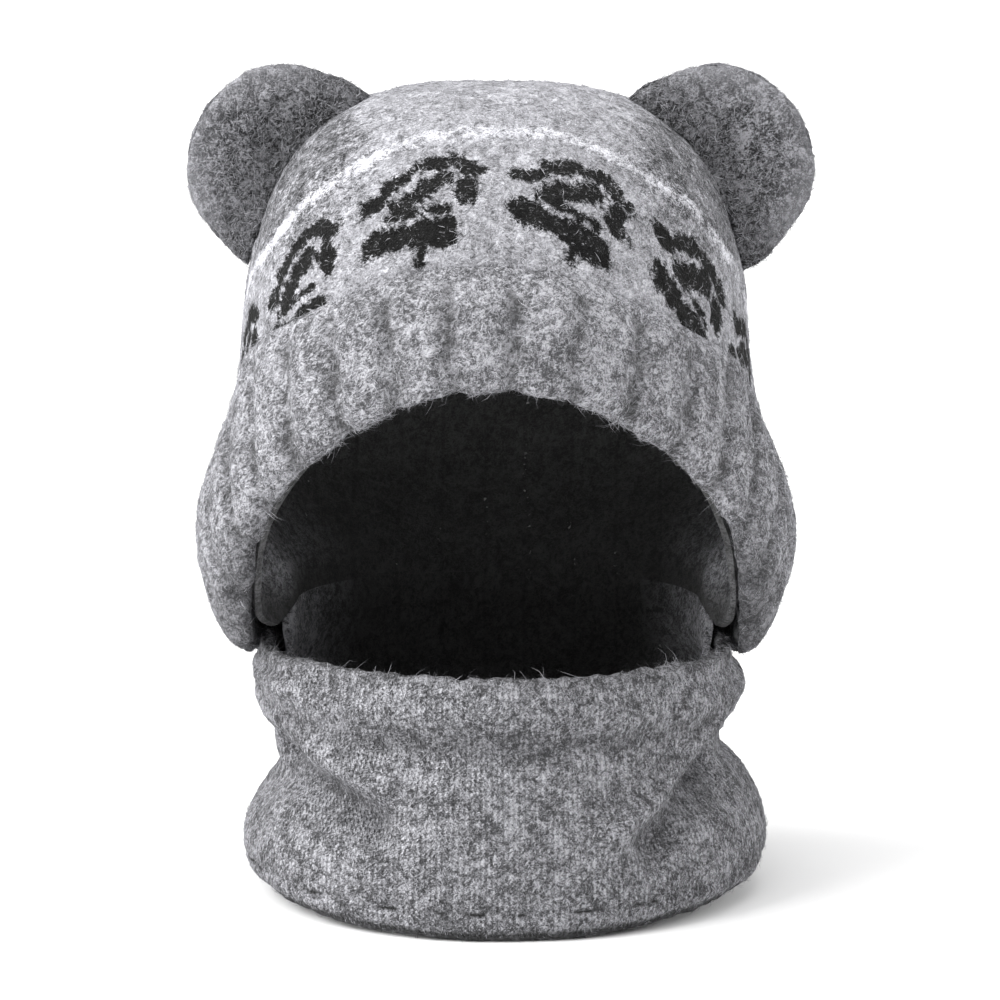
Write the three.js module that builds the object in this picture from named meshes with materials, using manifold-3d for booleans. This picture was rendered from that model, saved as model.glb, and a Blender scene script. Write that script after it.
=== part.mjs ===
// A knit hood with two round bear ears: a cuffed hat tilted back over a neck gaiter, with an open face.
// Millimetres, +Z up. The face looks along -Y and +X is on the picture's right.
// The origin is the highest point of the hollow inside the lining, where the top of the head sits.

import * as THREE from 'three';
import Module from 'manifold-3d';

// Cloth and seams
const KNIT_WALL = 5;
const LINING_WALL = 2.5;
const SEAM_GAP = 0.3;
const CUFF_EASE = 0.5;          // between the crown's rim and the cuff's top
const LINING_EASE = 1.2;        // between the knit and the fleece inside it

// The hat's plain outside, before the cuff is folded up on it
const HAT_WIDTH = 185;
const HAT_DEPTH = 208;
const DOME_RISE = 123.5;        // from the widest level to the outside of the top
const LOWER_REACH = 173;        // how far under the widest level the plain sides would close
const CHEEK_SWELL = 11.2;       // extra half width at ear height, where the cuff is stretched
const CHEEK_DROP = 38;          // how far the swelling's middle lies under the widest level
const CHEEK_SPREAD = 38;        // half height of the swelling
const CROWN_TILT = 35;          // degrees that the hat's closed top leans back

// The ribbed cuff
const CUFF_HEIGHT = 40.8;
const CUFF_THICKNESS = 12.5;
const BROW_HEIGHT = 21.5;       // the cuff's front edge over the widest level
const NAPE_DROP = 94;           // the cuff's back edge under the widest level
const SEAM_ROLL = 3.5;          // the seam sits this much lower on +X and higher on -X
const RIB_COUNT = 30;
const RIB_PHASE = 0.31;         // where the first groove lies right of the front, in ribs
const RIB_DEPTH = 2.4;

// The ears
const EAR_RADIUS = 33.2;
const EAR_THICKNESS = 21;
const EAR_ANGLE = 39.7;         // degrees from upright to the ear's middle, seen from the front
const EAR_FRONT = 8;            // the ear's middle lies this far in front of the hat's middle
const EAR_SHIFT = 1.8;          // both ears sit this far to +X
const EAR_STANDOFF = 3.4;       // the ear's middle lies this far outside the hat
const EAR_LEAN = 55;            // degrees from upright to the line that halves the ear
const EAR_SHOULDER = 1.8;       // how much fuller the ear's sides are than its tip
const EAR_FLARE = 6.5;          // how much the ear's root spreads past the round outline
const EAR_CUP = 4;              // how far the rim curls to the front

// The neck gaiter
const NECK_WIDTH = 194;
const NECK_DEPTH = 187;
const NECK_TOP_DROP = 82.4;     // the free front edge under the hat's widest level
const NECK_HEIGHT = 89.6;       // front edge to hem, at the front
const NECK_SHIFT = 1.6;         // the gaiter stands this far to +X
const SIDE_TUCK = 3.4;          // how far the sides and back reach up inside the cuff
const HEM_LIFT = 4.5;           // how much higher the hem sits at the sides
const LINING_HEM_MARGIN = 15;   // the gaiter's lining ends this far over the hem
const LINING_STEP = 7;          // the two linings meet this far over the gaiter's tucked top

// Shape powers: 2 is an ellipse, more is boxier
const PLAN_POWER = 2.2;
const SIDE_POWER = 3;
const FRONT_POWER = 2.4;
const NECK_PLAN_POWER = 2.05;

// The hat's lining ends at this share of the way from the cuff's seam to its edge
const LINING_LIP_SHARE = 0.9;

// Lower rows of the gaiter's lining, shares of the gaiter's height
const LINING_NECK_DOWNS = [0.18, 0.31, 0.43, 0.525, 0.64];

// Grid counts
const CROWN_COLUMNS = 60;
const CROWN_ROWS = 9;
const RIB_STEPS = 4;
const NECK_COLUMNS = 46;
const LINING_COLUMNS = 36;
const LINING_ROWS = 9;
const EAR_COLUMNS = 28;
const EAR_RINGS = 6;

// Levels that follow
const WIDEST_Z = LINING_WALL + LINING_EASE + KNIT_WALL - DOME_RISE;
const EDGE_FALL = BROW_HEIGHT + NAPE_DROP;
const NECK_TOP_Z = WIDEST_Z - NECK_TOP_DROP;

// Half of the cuff's course, front to nape. turn is the share of the half turn, azimuths are degrees
// from the front, and falls are shares of the whole fall from the brow to the nape.
const CUFF_COURSE = [
  { turn: 0.000, seamAzimuth: 0, seamFall: 0.000, edgeAzimuth: 0, edgeFall: 0.000 },
  { turn: 0.077, seamAzimuth: 15, seamFall: 0.024, edgeAzimuth: 12.3, edgeFall: 0.026 },
  { turn: 0.157, seamAzimuth: 30, seamFall: 0.104, edgeAzimuth: 24.5, edgeFall: 0.113 },
  { turn: 0.241, seamAzimuth: 45, seamFall: 0.202, edgeAzimuth: 36.5, edgeFall: 0.243 },
  { turn: 0.306, seamAzimuth: 57, seamFall: 0.275, edgeAzimuth: 44.5, edgeFall: 0.364 },
  { turn: 0.377, seamAzimuth: 68, seamFall: 0.375, edgeAzimuth: 50, edgeFall: 0.515 },
  { turn: 0.459, seamAzimuth: 80, seamFall: 0.557, edgeAzimuth: 58, edgeFall: 0.710 },
  { turn: 0.551, seamAzimuth: 95, seamFall: 0.747, edgeAzimuth: 75, edgeFall: 0.882 },
  { turn: 0.658, seamAzimuth: 115, seamFall: 0.877, edgeAzimuth: 103, edgeFall: 0.958 },
  { turn: 0.789, seamAzimuth: 140, seamFall: 0.946, edgeAzimuth: 135, edgeFall: 0.983 },
  { turn: 1.000, seamAzimuth: 180, seamFall: 1.000, edgeAzimuth: 180, edgeFall: 1.000 },
];

// One section through the cuff, from the seam over the outside and the lip to the inside.
// along is the share of the way from seam to edge, out is a share of the cuff's outer swell
// (negative ones of the knit wall), rib is the share of the rib's depth that shows.
const CUFF_SECTION = [
  { along: 0.00, out: 0.05, rib: 0.0 },
  { along: 0.10, out: 0.50, rib: 0.5 },
  { along: 0.32, out: 0.91, rib: 1.0 },
  { along: 0.62, out: 1.00, rib: 1.0 },
  { along: 0.86, out: 0.94, rib: 0.9 },
  { along: 0.99, out: 0.58, rib: 0.6 },
  { along: 1.03, out: 0.00, rib: 0.3 },
  { along: 0.98, out: -0.40, rib: 0.1 },
  { along: 0.84, out: -0.80, rib: 0.0 },
  { along: 0.55, out: -1.00, rib: 0.0 },
  { along: 0.24, out: -1.00, rib: 0.0 },
  { along: 0.00, out: -1.00, rib: 0.0 },
];

// The gaiter's outline from its top edge down. down is the share of its height, left (-X) and right
// are shares of half its width, front and back of half its depth.
const NECK_OUTLINE = [
  { down: 0.000, left: 0.868, right: 0.856, front: 0.952, back: 0.905 },
  { down: 0.060, left: 0.874, right: 0.861, front: 0.968, back: 0.908 },
  { down: 0.120, left: 0.914, right: 0.893, front: 0.972, back: 0.916 },
  { down: 0.180, left: 0.920, right: 0.940, front: 0.956, back: 0.935 },
  { down: 0.245, left: 0.893, right: 0.920, front: 0.932, back: 0.938 },
  { down: 0.310, left: 0.870, right: 0.880, front: 0.942, back: 0.920 },
  { down: 0.370, left: 0.862, right: 0.842, front: 0.955, back: 0.904 },
  { down: 0.430, left: 0.862, right: 0.839, front: 0.964, back: 0.896 },
  { down: 0.480, left: 0.852, right: 0.848, front: 0.970, back: 0.902 },
  { down: 0.525, left: 0.842, right: 0.892, front: 0.976, back: 0.920 },
  { down: 0.580, left: 0.867, right: 0.936, front: 0.981, back: 0.944 },
  { down: 0.640, left: 0.908, right: 0.971, front: 0.986, back: 0.965 },
  { down: 0.720, left: 0.953, right: 1.001, front: 0.992, back: 0.986 },
  { down: 0.820, left: 0.981, right: 1.017, front: 0.998, back: 1.000 },
  { down: 0.920, left: 0.981, right: 1.012, front: 1.000, back: 0.996 },
  { down: 0.970, left: 0.955, right: 0.982, front: 0.994, back: 0.980 },
  { down: 1.000, left: 0.918, right: 0.940, front: 0.980, back: 0.958 },
];

// Slanting folds in the gaiter. Each runs from one place to another, azimuth in degrees (negative on
// -X) and down as above; out is its height over the cloth and reach its half width, in millimetres.
const NECK_FOLDS = [
  { fromAzimuth: -80, fromDown: 0.24, toAzimuth: -27, toDown: 0.44, out: 2.6, reach: 6.5 },
  { fromAzimuth: -68, fromDown: 0.40, toAzimuth: -30, toDown: 0.58, out: -5.0, reach: 8.0 },
  { fromAzimuth: 62, fromDown: 0.30, toAzimuth: 24, toDown: 0.62, out: 2.8, reach: 6.5 },
  { fromAzimuth: 63, fromDown: 0.42, toAzimuth: 35, toDown: 0.66, out: -4.6, reach: 8.0 },
  { fromAzimuth: 58, fromDown: 0.55, toAzimuth: 63, toDown: 0.57, out: -2.4, reach: 7.0 },
  { fromAzimuth: 150, fromDown: 0.34, toAzimuth: 200, toDown: 0.46, out: -3.0, reach: 9.0 },
];

// Where the gaiter's own section turns round: its rolled top edge and its folded hem.
// drop is millimetres down from the nearer edge, inset a share of the wall.
const NECK_TOP_ROLL = [
  { drop: -1.4, inset: 0.75 },
  { drop: -1.6, inset: 0.35 },
  { drop: -0.4, inset: 0.06 },
];
const NECK_HEM_ROLL = [
  { drop: 0.0, inset: 0.10 },
  { drop: 1.0, inset: 0.45 },
  { drop: 0.6, inset: 0.85 },
];

const radians = THREE.MathUtils.degToRad;
const clamp = THREE.MathUtils.clamp;
const middle = new THREE.Vector3(0, 0, WIDEST_Z);

// Smooth value of one column between a table's rows, at a place along its first column
function between(table, placeColumn, column, place) {
  const last = table.length - 1;
  const row = clamp(table.findIndex((entry) => entry[placeColumn] > place) - 1, 0, last - 1);
  const index = place >= table[last][placeColumn] ? last - 1 : row;
  const slopeAt = (k) => {
    const before = table[Math.max(k - 1, 0)];
    const after = table[Math.min(k + 1, last)];
    return (after[column] - before[column]) / (after[placeColumn] - before[placeColumn]);
  };
  const low = table[index];
  const high = table[index + 1];
  const span = high[placeColumn] - low[placeColumn];
  const s = (place - low[placeColumn]) / span;
  const ease = s * s * (3 - 2 * s);
  const rise = s * (1 - s) * (1 - s) * span * slopeAt(index);
  const fall = s * s * (s - 1) * span * slopeAt(index + 1);
  return low[column] * (1 - ease) + high[column] * ease + rise + fall;
}

// Radius of an ellipse-like outline in the direction of an azimuth from the front
function planRadius(azimuth, halfWidth, halfDepth, power) {
  const across = Math.abs(Math.sin(azimuth)) / halfWidth;
  const deep = Math.abs(Math.cos(azimuth)) / halfDepth;
  return (across ** power + deep ** power) ** (-1 / power);
}

// How much wider the hat is than its plain form, at a height over the widest level
function swellAt(height) {
  const away = (height + CHEEK_DROP) / CHEEK_SPREAD;
  return 1 + (CHEEK_SWELL / (HAT_WIDTH / 2)) * Math.exp(-away * away);
}

// 1 on the hat's outside, less inside it and more outside it
function hatLevel(point) {
  const height = point.z - WIDEST_Z;
  const x = point.x / swellAt(height);
  const azimuth = Math.atan2(x, -point.y);
  const power = THREE.MathUtils.lerp(FRONT_POWER, SIDE_POWER, Math.sin(azimuth) ** 2);
  const radius = planRadius(azimuth, HAT_WIDTH / 2, HAT_DEPTH / 2, PLAN_POWER);
  const reach = height > 0 ? DOME_RISE : LOWER_REACH;
  const flat = Math.hypot(x, point.y) / radius;
  return (flat ** power + (Math.abs(height) / reach) ** power) ** (1 / power);
}

// The outward direction of the hat's outside at a point on it
function hatNormal(point) {
  const step = 0.05;
  const slope = (axis) => {
    const ahead = point.clone();
    const behind = point.clone();
    ahead[axis] += step;
    behind[axis] -= step;
    return hatLevel(ahead) - hatLevel(behind);
  };
  return new THREE.Vector3(slope('x'), slope('y'), slope('z')).normalize();
}

// Point of the hat's outside seen from its middle in a direction, moved out along the normal
function hatTowards(direction, out) {
  const rounds = 8;
  let distance = HAT_WIDTH / 2;
  for (let k = 0; k < rounds; k += 1) {
    const trial = direction.clone().multiplyScalar(distance).add(middle);
    distance /= hatLevel(trial);
  }
  const point = direction.clone().multiplyScalar(distance).add(middle);
  return point.addScaledVector(hatNormal(point), out);
}

// Point of the hat's outside at an azimuth and a height over the widest level, moved out by out
function hatAt(azimuth, height, out) {
  const power = THREE.MathUtils.lerp(FRONT_POWER, SIDE_POWER, Math.sin(azimuth) ** 2);
  const reach = height > 0 ? DOME_RISE : LOWER_REACH;
  const shrink = (1 - (Math.abs(height) / reach) ** power) ** (1 / power);
  const radius = planRadius(azimuth, HAT_WIDTH / 2, HAT_DEPTH / 2, PLAN_POWER) * shrink;
  const x = radius * Math.sin(azimuth) * swellAt(height);
  const point = new THREE.Vector3(x, -radius * Math.cos(azimuth), WIDEST_Z + height);
  return point.addScaledVector(hatNormal(point), out);
}

// The cuff's course with its mirror rows past both ends, so that it runs on smoothly
const courseBefore = CUFF_COURSE.slice(1, 3).reverse().map((row) => ({
  turn: -row.turn,
  seamAzimuth: -row.seamAzimuth,
  seamFall: row.seamFall,
  edgeAzimuth: -row.edgeAzimuth,
  edgeFall: row.edgeFall,
}));
const courseAfter = CUFF_COURSE.slice(-3, -1).reverse().map((row) => ({
  turn: 2 - row.turn,
  seamAzimuth: 360 - row.seamAzimuth,
  seamFall: row.seamFall,
  edgeAzimuth: 360 - row.edgeAzimuth,
  edgeFall: row.edgeFall,
}));
const wholeCourse = [...courseBefore, ...CUFF_COURSE, ...courseAfter];

// Azimuth and height of the seam and of the cuff's edge, for a share of the whole turn
function cuffCourse(share) {
  const side = share < 0.5 ? 1 : -1;
  const turn = share < 0.5 ? 2 * share : 2 - 2 * share;
  const read = (column) => between(wholeCourse, 'turn', column, turn);
  const seamAzimuth = side * radians(read('seamAzimuth'));
  const roll = SEAM_ROLL * Math.sin(seamAzimuth);
  return {
    seamAzimuth,
    seamHeight: BROW_HEIGHT + CUFF_HEIGHT - EDGE_FALL * read('seamFall') - roll,
    edgeAzimuth: side * radians(read('edgeAzimuth')),
    edgeHeight: BROW_HEIGHT - EDGE_FALL * read('edgeFall'),
  };
}

// Rib relief across the cuff: 0 on a rib's back, down to -1 in the groove between two ribs
function ribAt(share) {
  const place = share * RIB_COUNT - RIB_PHASE;
  const fromGroove = Math.abs(place - Math.round(place));
  return -Math.exp(-((fromGroove / 0.17) ** 2));
}

// A closed mesh from its corners and triangles, with its faces outward
function closedGeometry(corners, triangles) {
  let volume = 0;
  const cross = new THREE.Vector3();
  for (const [a, b, c] of triangles) {
    volume += corners[a].dot(cross.crossVectors(corners[b], corners[c]));
  }
  const order = volume > 0 ? triangles : triangles.map(([a, b, c]) => [a, c, b]);
  const geometry = new THREE.BufferGeometry().setFromPoints(corners);
  geometry.setIndex(order.flat());
  geometry.computeVertexNormals();
  return geometry;
}

// A band closed on itself both ways: columns round the ring, loop corners round its section
function ringGeometry(columns, loop, pointAt) {
  const corners = [];
  const triangles = [];
  for (let i = 0; i < columns; i += 1) {
    for (let j = 0; j < loop; j += 1) {
      corners.push(pointAt(i / columns, j));
      const here = i * loop + j;
      const up = i * loop + ((j + 1) % loop);
      const next = ((i + 1) % columns) * loop + j;
      const nextUp = ((i + 1) % columns) * loop + ((j + 1) % loop);
      triangles.push([here, next, nextUp], [here, nextUp, up]);
    }
  }
  return closedGeometry(corners, triangles);
}

// A dome with a wall: pointAt takes the share of the turn, the share from pole to rim, and the side,
// 0 outside and 1 inside. With one side only, the rim is closed to the hat's middle.
function domeGeometry(columns, rows, sides, pointAt) {
  const corners = [];
  const triangles = [];
  const rim = [];
  for (let side = 0; side < sides; side += 1) {
    const pole = corners.length;
    const flip = (triangle) => (side === 0 ? triangle : [...triangle].reverse());
    corners.push(pointAt(0, 0, side));
    for (let j = 1; j <= rows; j += 1) {
      for (let i = 0; i < columns; i += 1) {
        corners.push(pointAt(i / columns, j / rows, side));
        const here = pole + 1 + (j - 1) * columns + i;
        const next = pole + 1 + (j - 1) * columns + ((i + 1) % columns);
        if (j === 1) {
          triangles.push(flip([pole, here, next]));
        } else {
          triangles.push(flip([here - columns, here, next]), flip([here - columns, next, next - columns]));
        }
      }
    }
    rim.push(pole + 1 + (rows - 1) * columns);
  }
  if (sides === 1) {
    corners.push(middle.clone());
  }
  for (let i = 0; i < columns; i += 1) {
    const next = (i + 1) % columns;
    if (sides === 1) {
      triangles.push([rim[0] + i, corners.length - 1, rim[0] + next]);
    } else {
      triangles.push([rim[0] + i, rim[1] + i, rim[1] + next], [rim[0] + i, rim[1] + next, rim[0] + next]);
    }
  }
  return closedGeometry(corners, triangles);
}

// Direction from the hat's middle, a share of the way from its leaning pole to a rim direction
const pole = new THREE.Vector3(0, Math.sin(radians(CROWN_TILT)), Math.cos(radians(CROWN_TILT)));
function fromPole(rimPoint, share) {
  const rimDirection = rimPoint.clone().sub(middle).normalize();
  const turn = new THREE.Quaternion().setFromUnitVectors(pole, rimDirection);
  return pole.clone().applyQuaternion(new THREE.Quaternion().slerp(turn, share));
}

// A point of the crown's cloth. At the rim it stops half a gap short of the seam.
function crownPoint(share, fromTop, out) {
  const course = cuffCourse(share);
  const seam = hatAt(course.seamAzimuth, course.seamHeight + SEAM_GAP, 0);
  return hatTowards(fromPole(seam, fromTop), out);
}

function crownGeometry() {
  const pointAt = (share, fromTop, side) => crownPoint(share, fromTop, -side * KNIT_WALL);
  return domeGeometry(CROWN_COLUMNS, CROWN_ROWS, 2, pointAt);
}

// A point of the cuff for a share of the turn and a row of its section
function cuffPoint(share, row) {
  const course = cuffCourse(share);
  const swell = CUFF_THICKNESS - KNIT_WALL;
  const out = row.out > 0 ? row.out * swell : row.out * KNIT_WALL;
  const azimuth = THREE.MathUtils.lerp(course.seamAzimuth, course.edgeAzimuth, row.along);
  const seamHeight = course.seamHeight - CUFF_EASE;
  const height = THREE.MathUtils.lerp(seamHeight, course.edgeHeight, row.along);
  return hatAt(azimuth, height, out + RIB_DEPTH * row.rib * ribAt(share));
}

function cuffGeometry() {
  const pointAt = (share, j) => cuffPoint(share, CUFF_SECTION[j]);
  return ringGeometry(RIB_COUNT * RIB_STEPS, CUFF_SECTION.length, pointAt);
}

// How far the slanting folds stand out of the gaiter at an azimuth and a share of its height
function foldsAt(azimuth, down) {
  const perRadian = NECK_WIDTH / 2;
  let out = 0;
  for (const fold of NECK_FOLDS) {
    const from = radians(fold.fromAzimuth);
    const along = new THREE.Vector2(
      (radians(fold.toAzimuth) - from) * perRadian,
      (fold.toDown - fold.fromDown) * NECK_HEIGHT,
    );
    const turns = Math.round((azimuth - from) / (2 * Math.PI));
    const here = new THREE.Vector2(
      (azimuth - from - turns * 2 * Math.PI) * perRadian,
      (down - fold.fromDown) * NECK_HEIGHT,
    );
    const share = clamp(here.dot(along) / along.lengthSq(), 0, 1);
    const away = here.distanceTo(along.clone().multiplyScalar(share)) / fold.reach;
    out += fold.out * Math.exp(-away * away);
  }
  return out;
}

// A point of the gaiter for an azimuth, a share of its height and an inset from its outside
function neckPoint(azimuth, down, inset, drop) {
  const sideways = Math.sin(azimuth) ** 2;
  const behind = THREE.MathUtils.smoothstep(-Math.cos(azimuth), -0.34, 0.17);
  const top = NECK_TOP_Z + SIDE_TUCK * behind;
  const bottom = NECK_TOP_Z - NECK_HEIGHT + HEM_LIFT * sideways;
  const wideColumn = Math.sin(azimuth) > 0 ? 'right' : 'left';
  const halfWidth = (NECK_WIDTH / 2) * between(NECK_OUTLINE, 'down', wideColumn, down);
  const deepColumn = Math.cos(azimuth) > 0 ? 'front' : 'back';
  const halfDepth = (NECK_DEPTH / 2) * between(NECK_OUTLINE, 'down', deepColumn, down);
  const plain = planRadius(azimuth, halfWidth, halfDepth, NECK_PLAN_POWER);
  const radius = plain + foldsAt(azimuth, down) - inset;
  const z = THREE.MathUtils.lerp(top, bottom, down) - drop;
  return new THREE.Vector3(NECK_SHIFT + radius * Math.sin(azimuth), -radius * Math.cos(azimuth), z);
}

// The gaiter's section: down the outside, round the hem, up the inside, over the rolled top edge
const neckOutside = NECK_OUTLINE.slice(1, -1).map((row) => ({ down: row.down, drop: 0, inset: 0 }));
const neckInside = NECK_OUTLINE.filter((row, k) => k === 2 || k % 2 === 1).reverse()
  .map((row) => ({ down: row.down, drop: 0, inset: 1 }));
const neckSection = [
  ...neckOutside,
  ...NECK_HEM_ROLL.map((row) => ({ down: 1, drop: row.drop, inset: row.inset })),
  ...neckInside.slice(1),
  ...NECK_TOP_ROLL.map((row) => ({ down: 0, drop: row.drop, inset: row.inset })),
];

function neckGeometry() {
  const pointAt = (share, j) => {
    const row = neckSection[j];
    return neckPoint(share * 2 * Math.PI, row.down, row.inset * KNIT_WALL, row.drop);
  };
  return ringGeometry(NECK_COLUMNS, neckSection.length, pointAt);
}

// How high over the widest level the two linings meet, at the sides and behind
const NECK_TOP_ROLL_RISE = Math.max(...NECK_TOP_ROLL.map((row) => -row.drop));
const LINING_MEET = SIDE_TUCK + NECK_TOP_ROLL_RISE + LINING_STEP - NECK_TOP_DROP;

// The hat's lining reaches the cuff's lip at the front and the other lining behind
function liningHeadPoint(share, fromTop, out) {
  const course = cuffCourse(share);
  const lip = (from, to) => THREE.MathUtils.lerp(from, to, LINING_LIP_SHARE);
  const height = Math.max(lip(course.seamHeight, course.edgeHeight), LINING_MEET);
  const rim = hatAt(lip(course.seamAzimuth, course.edgeAzimuth), height, 0);
  return hatTowards(fromPole(rim, fromTop), out);
}

function liningHeadGeometry() {
  const pointAt = (share, fromTop, side) => (
    liningHeadPoint(share, fromTop, -KNIT_WALL - LINING_EASE - side * LINING_WALL)
  );
  return domeGeometry(LINING_COLUMNS, LINING_ROWS, 2, pointAt);
}

// The gaiter's lining. At the front it starts under the rolled edge; at the sides and behind it rises
// over the gaiter's tucked top and steps out to the hat's lining.
function liningNeckPoint(azimuth, row, depth) {
  const inset = KNIT_WALL + LINING_EASE + depth;
  const point = neckPoint(azimuth, row.front, inset, 0);
  const raised = THREE.MathUtils.smoothstep(-Math.cos(azimuth), -0.5, -0.2);
  point.lerp(neckPoint(azimuth, row.down, inset, -row.rise), raised);
  const outward = THREE.MathUtils.smoothstep(-Math.cos(azimuth), 0, 0.3) * row.outward;
  return point.lerp(hatAt(azimuth, LINING_MEET - SEAM_GAP, -inset), outward);
}

function liningNeckGeometry() {
  const lowest = 1 - LINING_HEM_MARGIN / NECK_HEIGHT;
  const top = NECK_TOP_ROLL_RISE;
  const rows = [
    { front: 0.06, down: 0, rise: top + LINING_STEP - SEAM_GAP, outward: 1 },
    { front: 0.09, down: 0, rise: top + 0.2 * LINING_STEP, outward: 0 },
    { front: 0.12, down: 0.06, rise: 0, outward: 0 },
    ...[...LINING_NECK_DOWNS, lowest].map((down) => ({ front: down, down, rise: 0, outward: 0 })),
  ];
  const section = [
    ...[...rows].reverse().map((row) => ({ row, depth: 0 })),
    ...rows.map((row) => ({ row, depth: LINING_WALL })),
  ];
  const pointAt = (share, j) => (
    liningNeckPoint(share * 2 * Math.PI, section[j].row, section[j].depth)
  );
  return ringGeometry(NECK_COLUMNS, section.length, pointAt);
}

// A puffy round ear before it is fitted to the hat. side is -1 on the left and 1 on the right.
function looseEarGeometry(side) {
  const aim = radians(EAR_ANGLE);
  const towards = new THREE.Vector3(side * Math.sin(aim), 0, Math.cos(aim));
  const root = hatTowards(towards, 0);
  const centre = root.addScaledVector(towards, EAR_STANDOFF);
  centre.x += EAR_SHIFT;
  centre.y = -EAR_FRONT;
  const lean = radians(EAR_LEAN);
  const corners = [];
  const triangles = [];
  const face = (ring, i, front) => {
    const share = ring / EAR_RINGS;
    const angle = (i / EAR_COLUMNS) * 2 * Math.PI;
    const fromAxis = Math.abs(angle > Math.PI ? 2 * Math.PI - angle : angle);
    const shoulder = EAR_SHOULDER * THREE.MathUtils.smoothstep(fromAxis, radians(10), radians(65));
    const flare = EAR_FLARE * THREE.MathUtils.smoothstep(fromAxis, radians(75), radians(125));
    const radius = (EAR_RADIUS + shoulder + flare) * Math.sin((share * Math.PI) / 2);
    const outline = lean + angle;
    const thick = (EAR_THICKNESS / 2) * Math.cos((share * Math.PI) / 2) ** 0.8;
    const curl = EAR_CUP * Math.sin((share * Math.PI) / 2) ** 2;
    return new THREE.Vector3(
      centre.x + side * radius * Math.sin(outline),
      centre.y - curl - front * thick,
      centre.z + radius * Math.cos(outline),
    );
  };
  corners.push(face(0, 0, 1), face(0, 0, -1));
  for (let ring = 1; ring < EAR_RINGS; ring += 1) {
    for (let i = 0; i < EAR_COLUMNS; i += 1) {
      corners.push(face(ring, i, 1), face(ring, i, -1));
    }
  }
  const rimStart = corners.length;
  for (let i = 0; i < EAR_COLUMNS; i += 1) {
    corners.push(face(EAR_RINGS, i, 0));
  }
  const at = (ring, i, back) => {
    const column = i % EAR_COLUMNS;
    if (ring === 0) {
      return back;
    }
    if (ring === EAR_RINGS) {
      return rimStart + column;
    }
    return 2 + ((ring - 1) * EAR_COLUMNS + column) * 2 + back;
  };
  for (let back = 0; back < 2; back += 1) {
    const turned = (triangle) => (back === 0 ? triangle : [...triangle].reverse());
    for (let i = 0; i < EAR_COLUMNS; i += 1) {
      triangles.push(turned([at(0, 0, back), at(1, i, back), at(1, i + 1, back)]));
      for (let ring = 1; ring < EAR_RINGS; ring += 1) {
        triangles.push(
          turned([at(ring, i, back), at(ring + 1, i, back), at(ring + 1, i + 1, back)]),
          turned([at(ring, i, back), at(ring + 1, i + 1, back), at(ring, i + 1, back)]),
        );
      }
    }
  }
  return closedGeometry(corners, triangles);
}

const library = await Module();
library.setup();

function toSolid(geometry) {
  const vertProperties = new Float32Array(geometry.getAttribute('position').array);
  const triVerts = new Uint32Array(geometry.getIndex().array);
  return new library.Manifold(new library.Mesh({ numProp: 3, vertProperties, triVerts }));
}

function toGeometry(solid) {
  const cut = solid.getMesh();
  const geometry = new THREE.BufferGeometry();
  geometry.setAttribute('position', new THREE.BufferAttribute(new Float32Array(cut.vertProperties), 3));
  geometry.setIndex(new THREE.BufferAttribute(new Uint32Array(cut.triVerts), 1));
  geometry.computeVertexNormals();
  return geometry;
}

// The ear's root is cut to the hat's outside, with the seam gap between them
function earGeometry(side) {
  const hatForm = domeGeometry(CROWN_COLUMNS, CROWN_ROWS, 1, (share, fromTop) => (
    crownPoint(share, fromTop, SEAM_GAP)
  ));
  return toGeometry(toSolid(looseEarGeometry(side)).subtract(toSolid(hatForm)));
}

const knitGrey = new THREE.MeshStandardMaterial({ color: 0xa9a9ab, roughness: 0.95, metalness: 0 });
const cuffGrey = new THREE.MeshStandardMaterial({ color: 0x9c9c9f, roughness: 0.95, metalness: 0 });
const earGrey = new THREE.MeshStandardMaterial({ color: 0x7d7d80, roughness: 0.95, metalness: 0 });
const fleeceBlack = new THREE.MeshStandardMaterial({ color: 0x151516, roughness: 1, metalness: 0 });

const hood = new THREE.Group();

function addPiece(name, geometry, material) {
  const piece = new THREE.Mesh(geometry, material);
  piece.name = name;
  hood.add(piece);
}

addPiece('crown', crownGeometry(), knitGrey);
addPiece('cuff', cuffGeometry(), cuffGrey);
addPiece('neck', neckGeometry(), knitGrey);
addPiece('ear_left', earGeometry(-1), earGrey);
addPiece('ear_right', earGeometry(1), earGrey);
addPiece('lining_head', liningHeadGeometry(), fleeceBlack);
addPiece('lining_neck', liningNeckGeometry(), fleeceBlack);

export default hood;
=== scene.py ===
"""Dresses the bear ear hood: knit crown, rib cuff, padded ears, neck gaiter and black fleece linings.

Every surface is a function of two parameters on a grid, worked out with numpy in millimetres in the
part's own frame: +Z up, the face looks along -Y, the origin is where the top of the head sits.
"""

import bpy
import numpy as np
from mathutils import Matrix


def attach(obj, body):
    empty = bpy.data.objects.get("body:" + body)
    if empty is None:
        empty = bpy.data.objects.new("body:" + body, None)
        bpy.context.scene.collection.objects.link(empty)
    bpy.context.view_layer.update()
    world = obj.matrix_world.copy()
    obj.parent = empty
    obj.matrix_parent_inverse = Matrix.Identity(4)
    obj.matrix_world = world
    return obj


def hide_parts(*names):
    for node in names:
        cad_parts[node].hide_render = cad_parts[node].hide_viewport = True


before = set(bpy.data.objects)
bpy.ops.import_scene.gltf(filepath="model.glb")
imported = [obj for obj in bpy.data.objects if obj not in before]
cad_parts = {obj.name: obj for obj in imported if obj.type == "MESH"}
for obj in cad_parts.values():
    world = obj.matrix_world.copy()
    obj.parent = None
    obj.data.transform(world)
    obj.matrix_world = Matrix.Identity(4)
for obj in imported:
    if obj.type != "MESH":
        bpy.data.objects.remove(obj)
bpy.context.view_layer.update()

MM = 0.001

# Camera, as the photograph has it

CAMERA_AIM = np.array([1.6, 0.0, -144.8])
CAMERA_DISTANCE = 1300.0
CAMERA_PITCH = np.radians(8.0)
CAMERA_LENS = 126.47
CAMERA_SENSOR = 36.0


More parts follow.
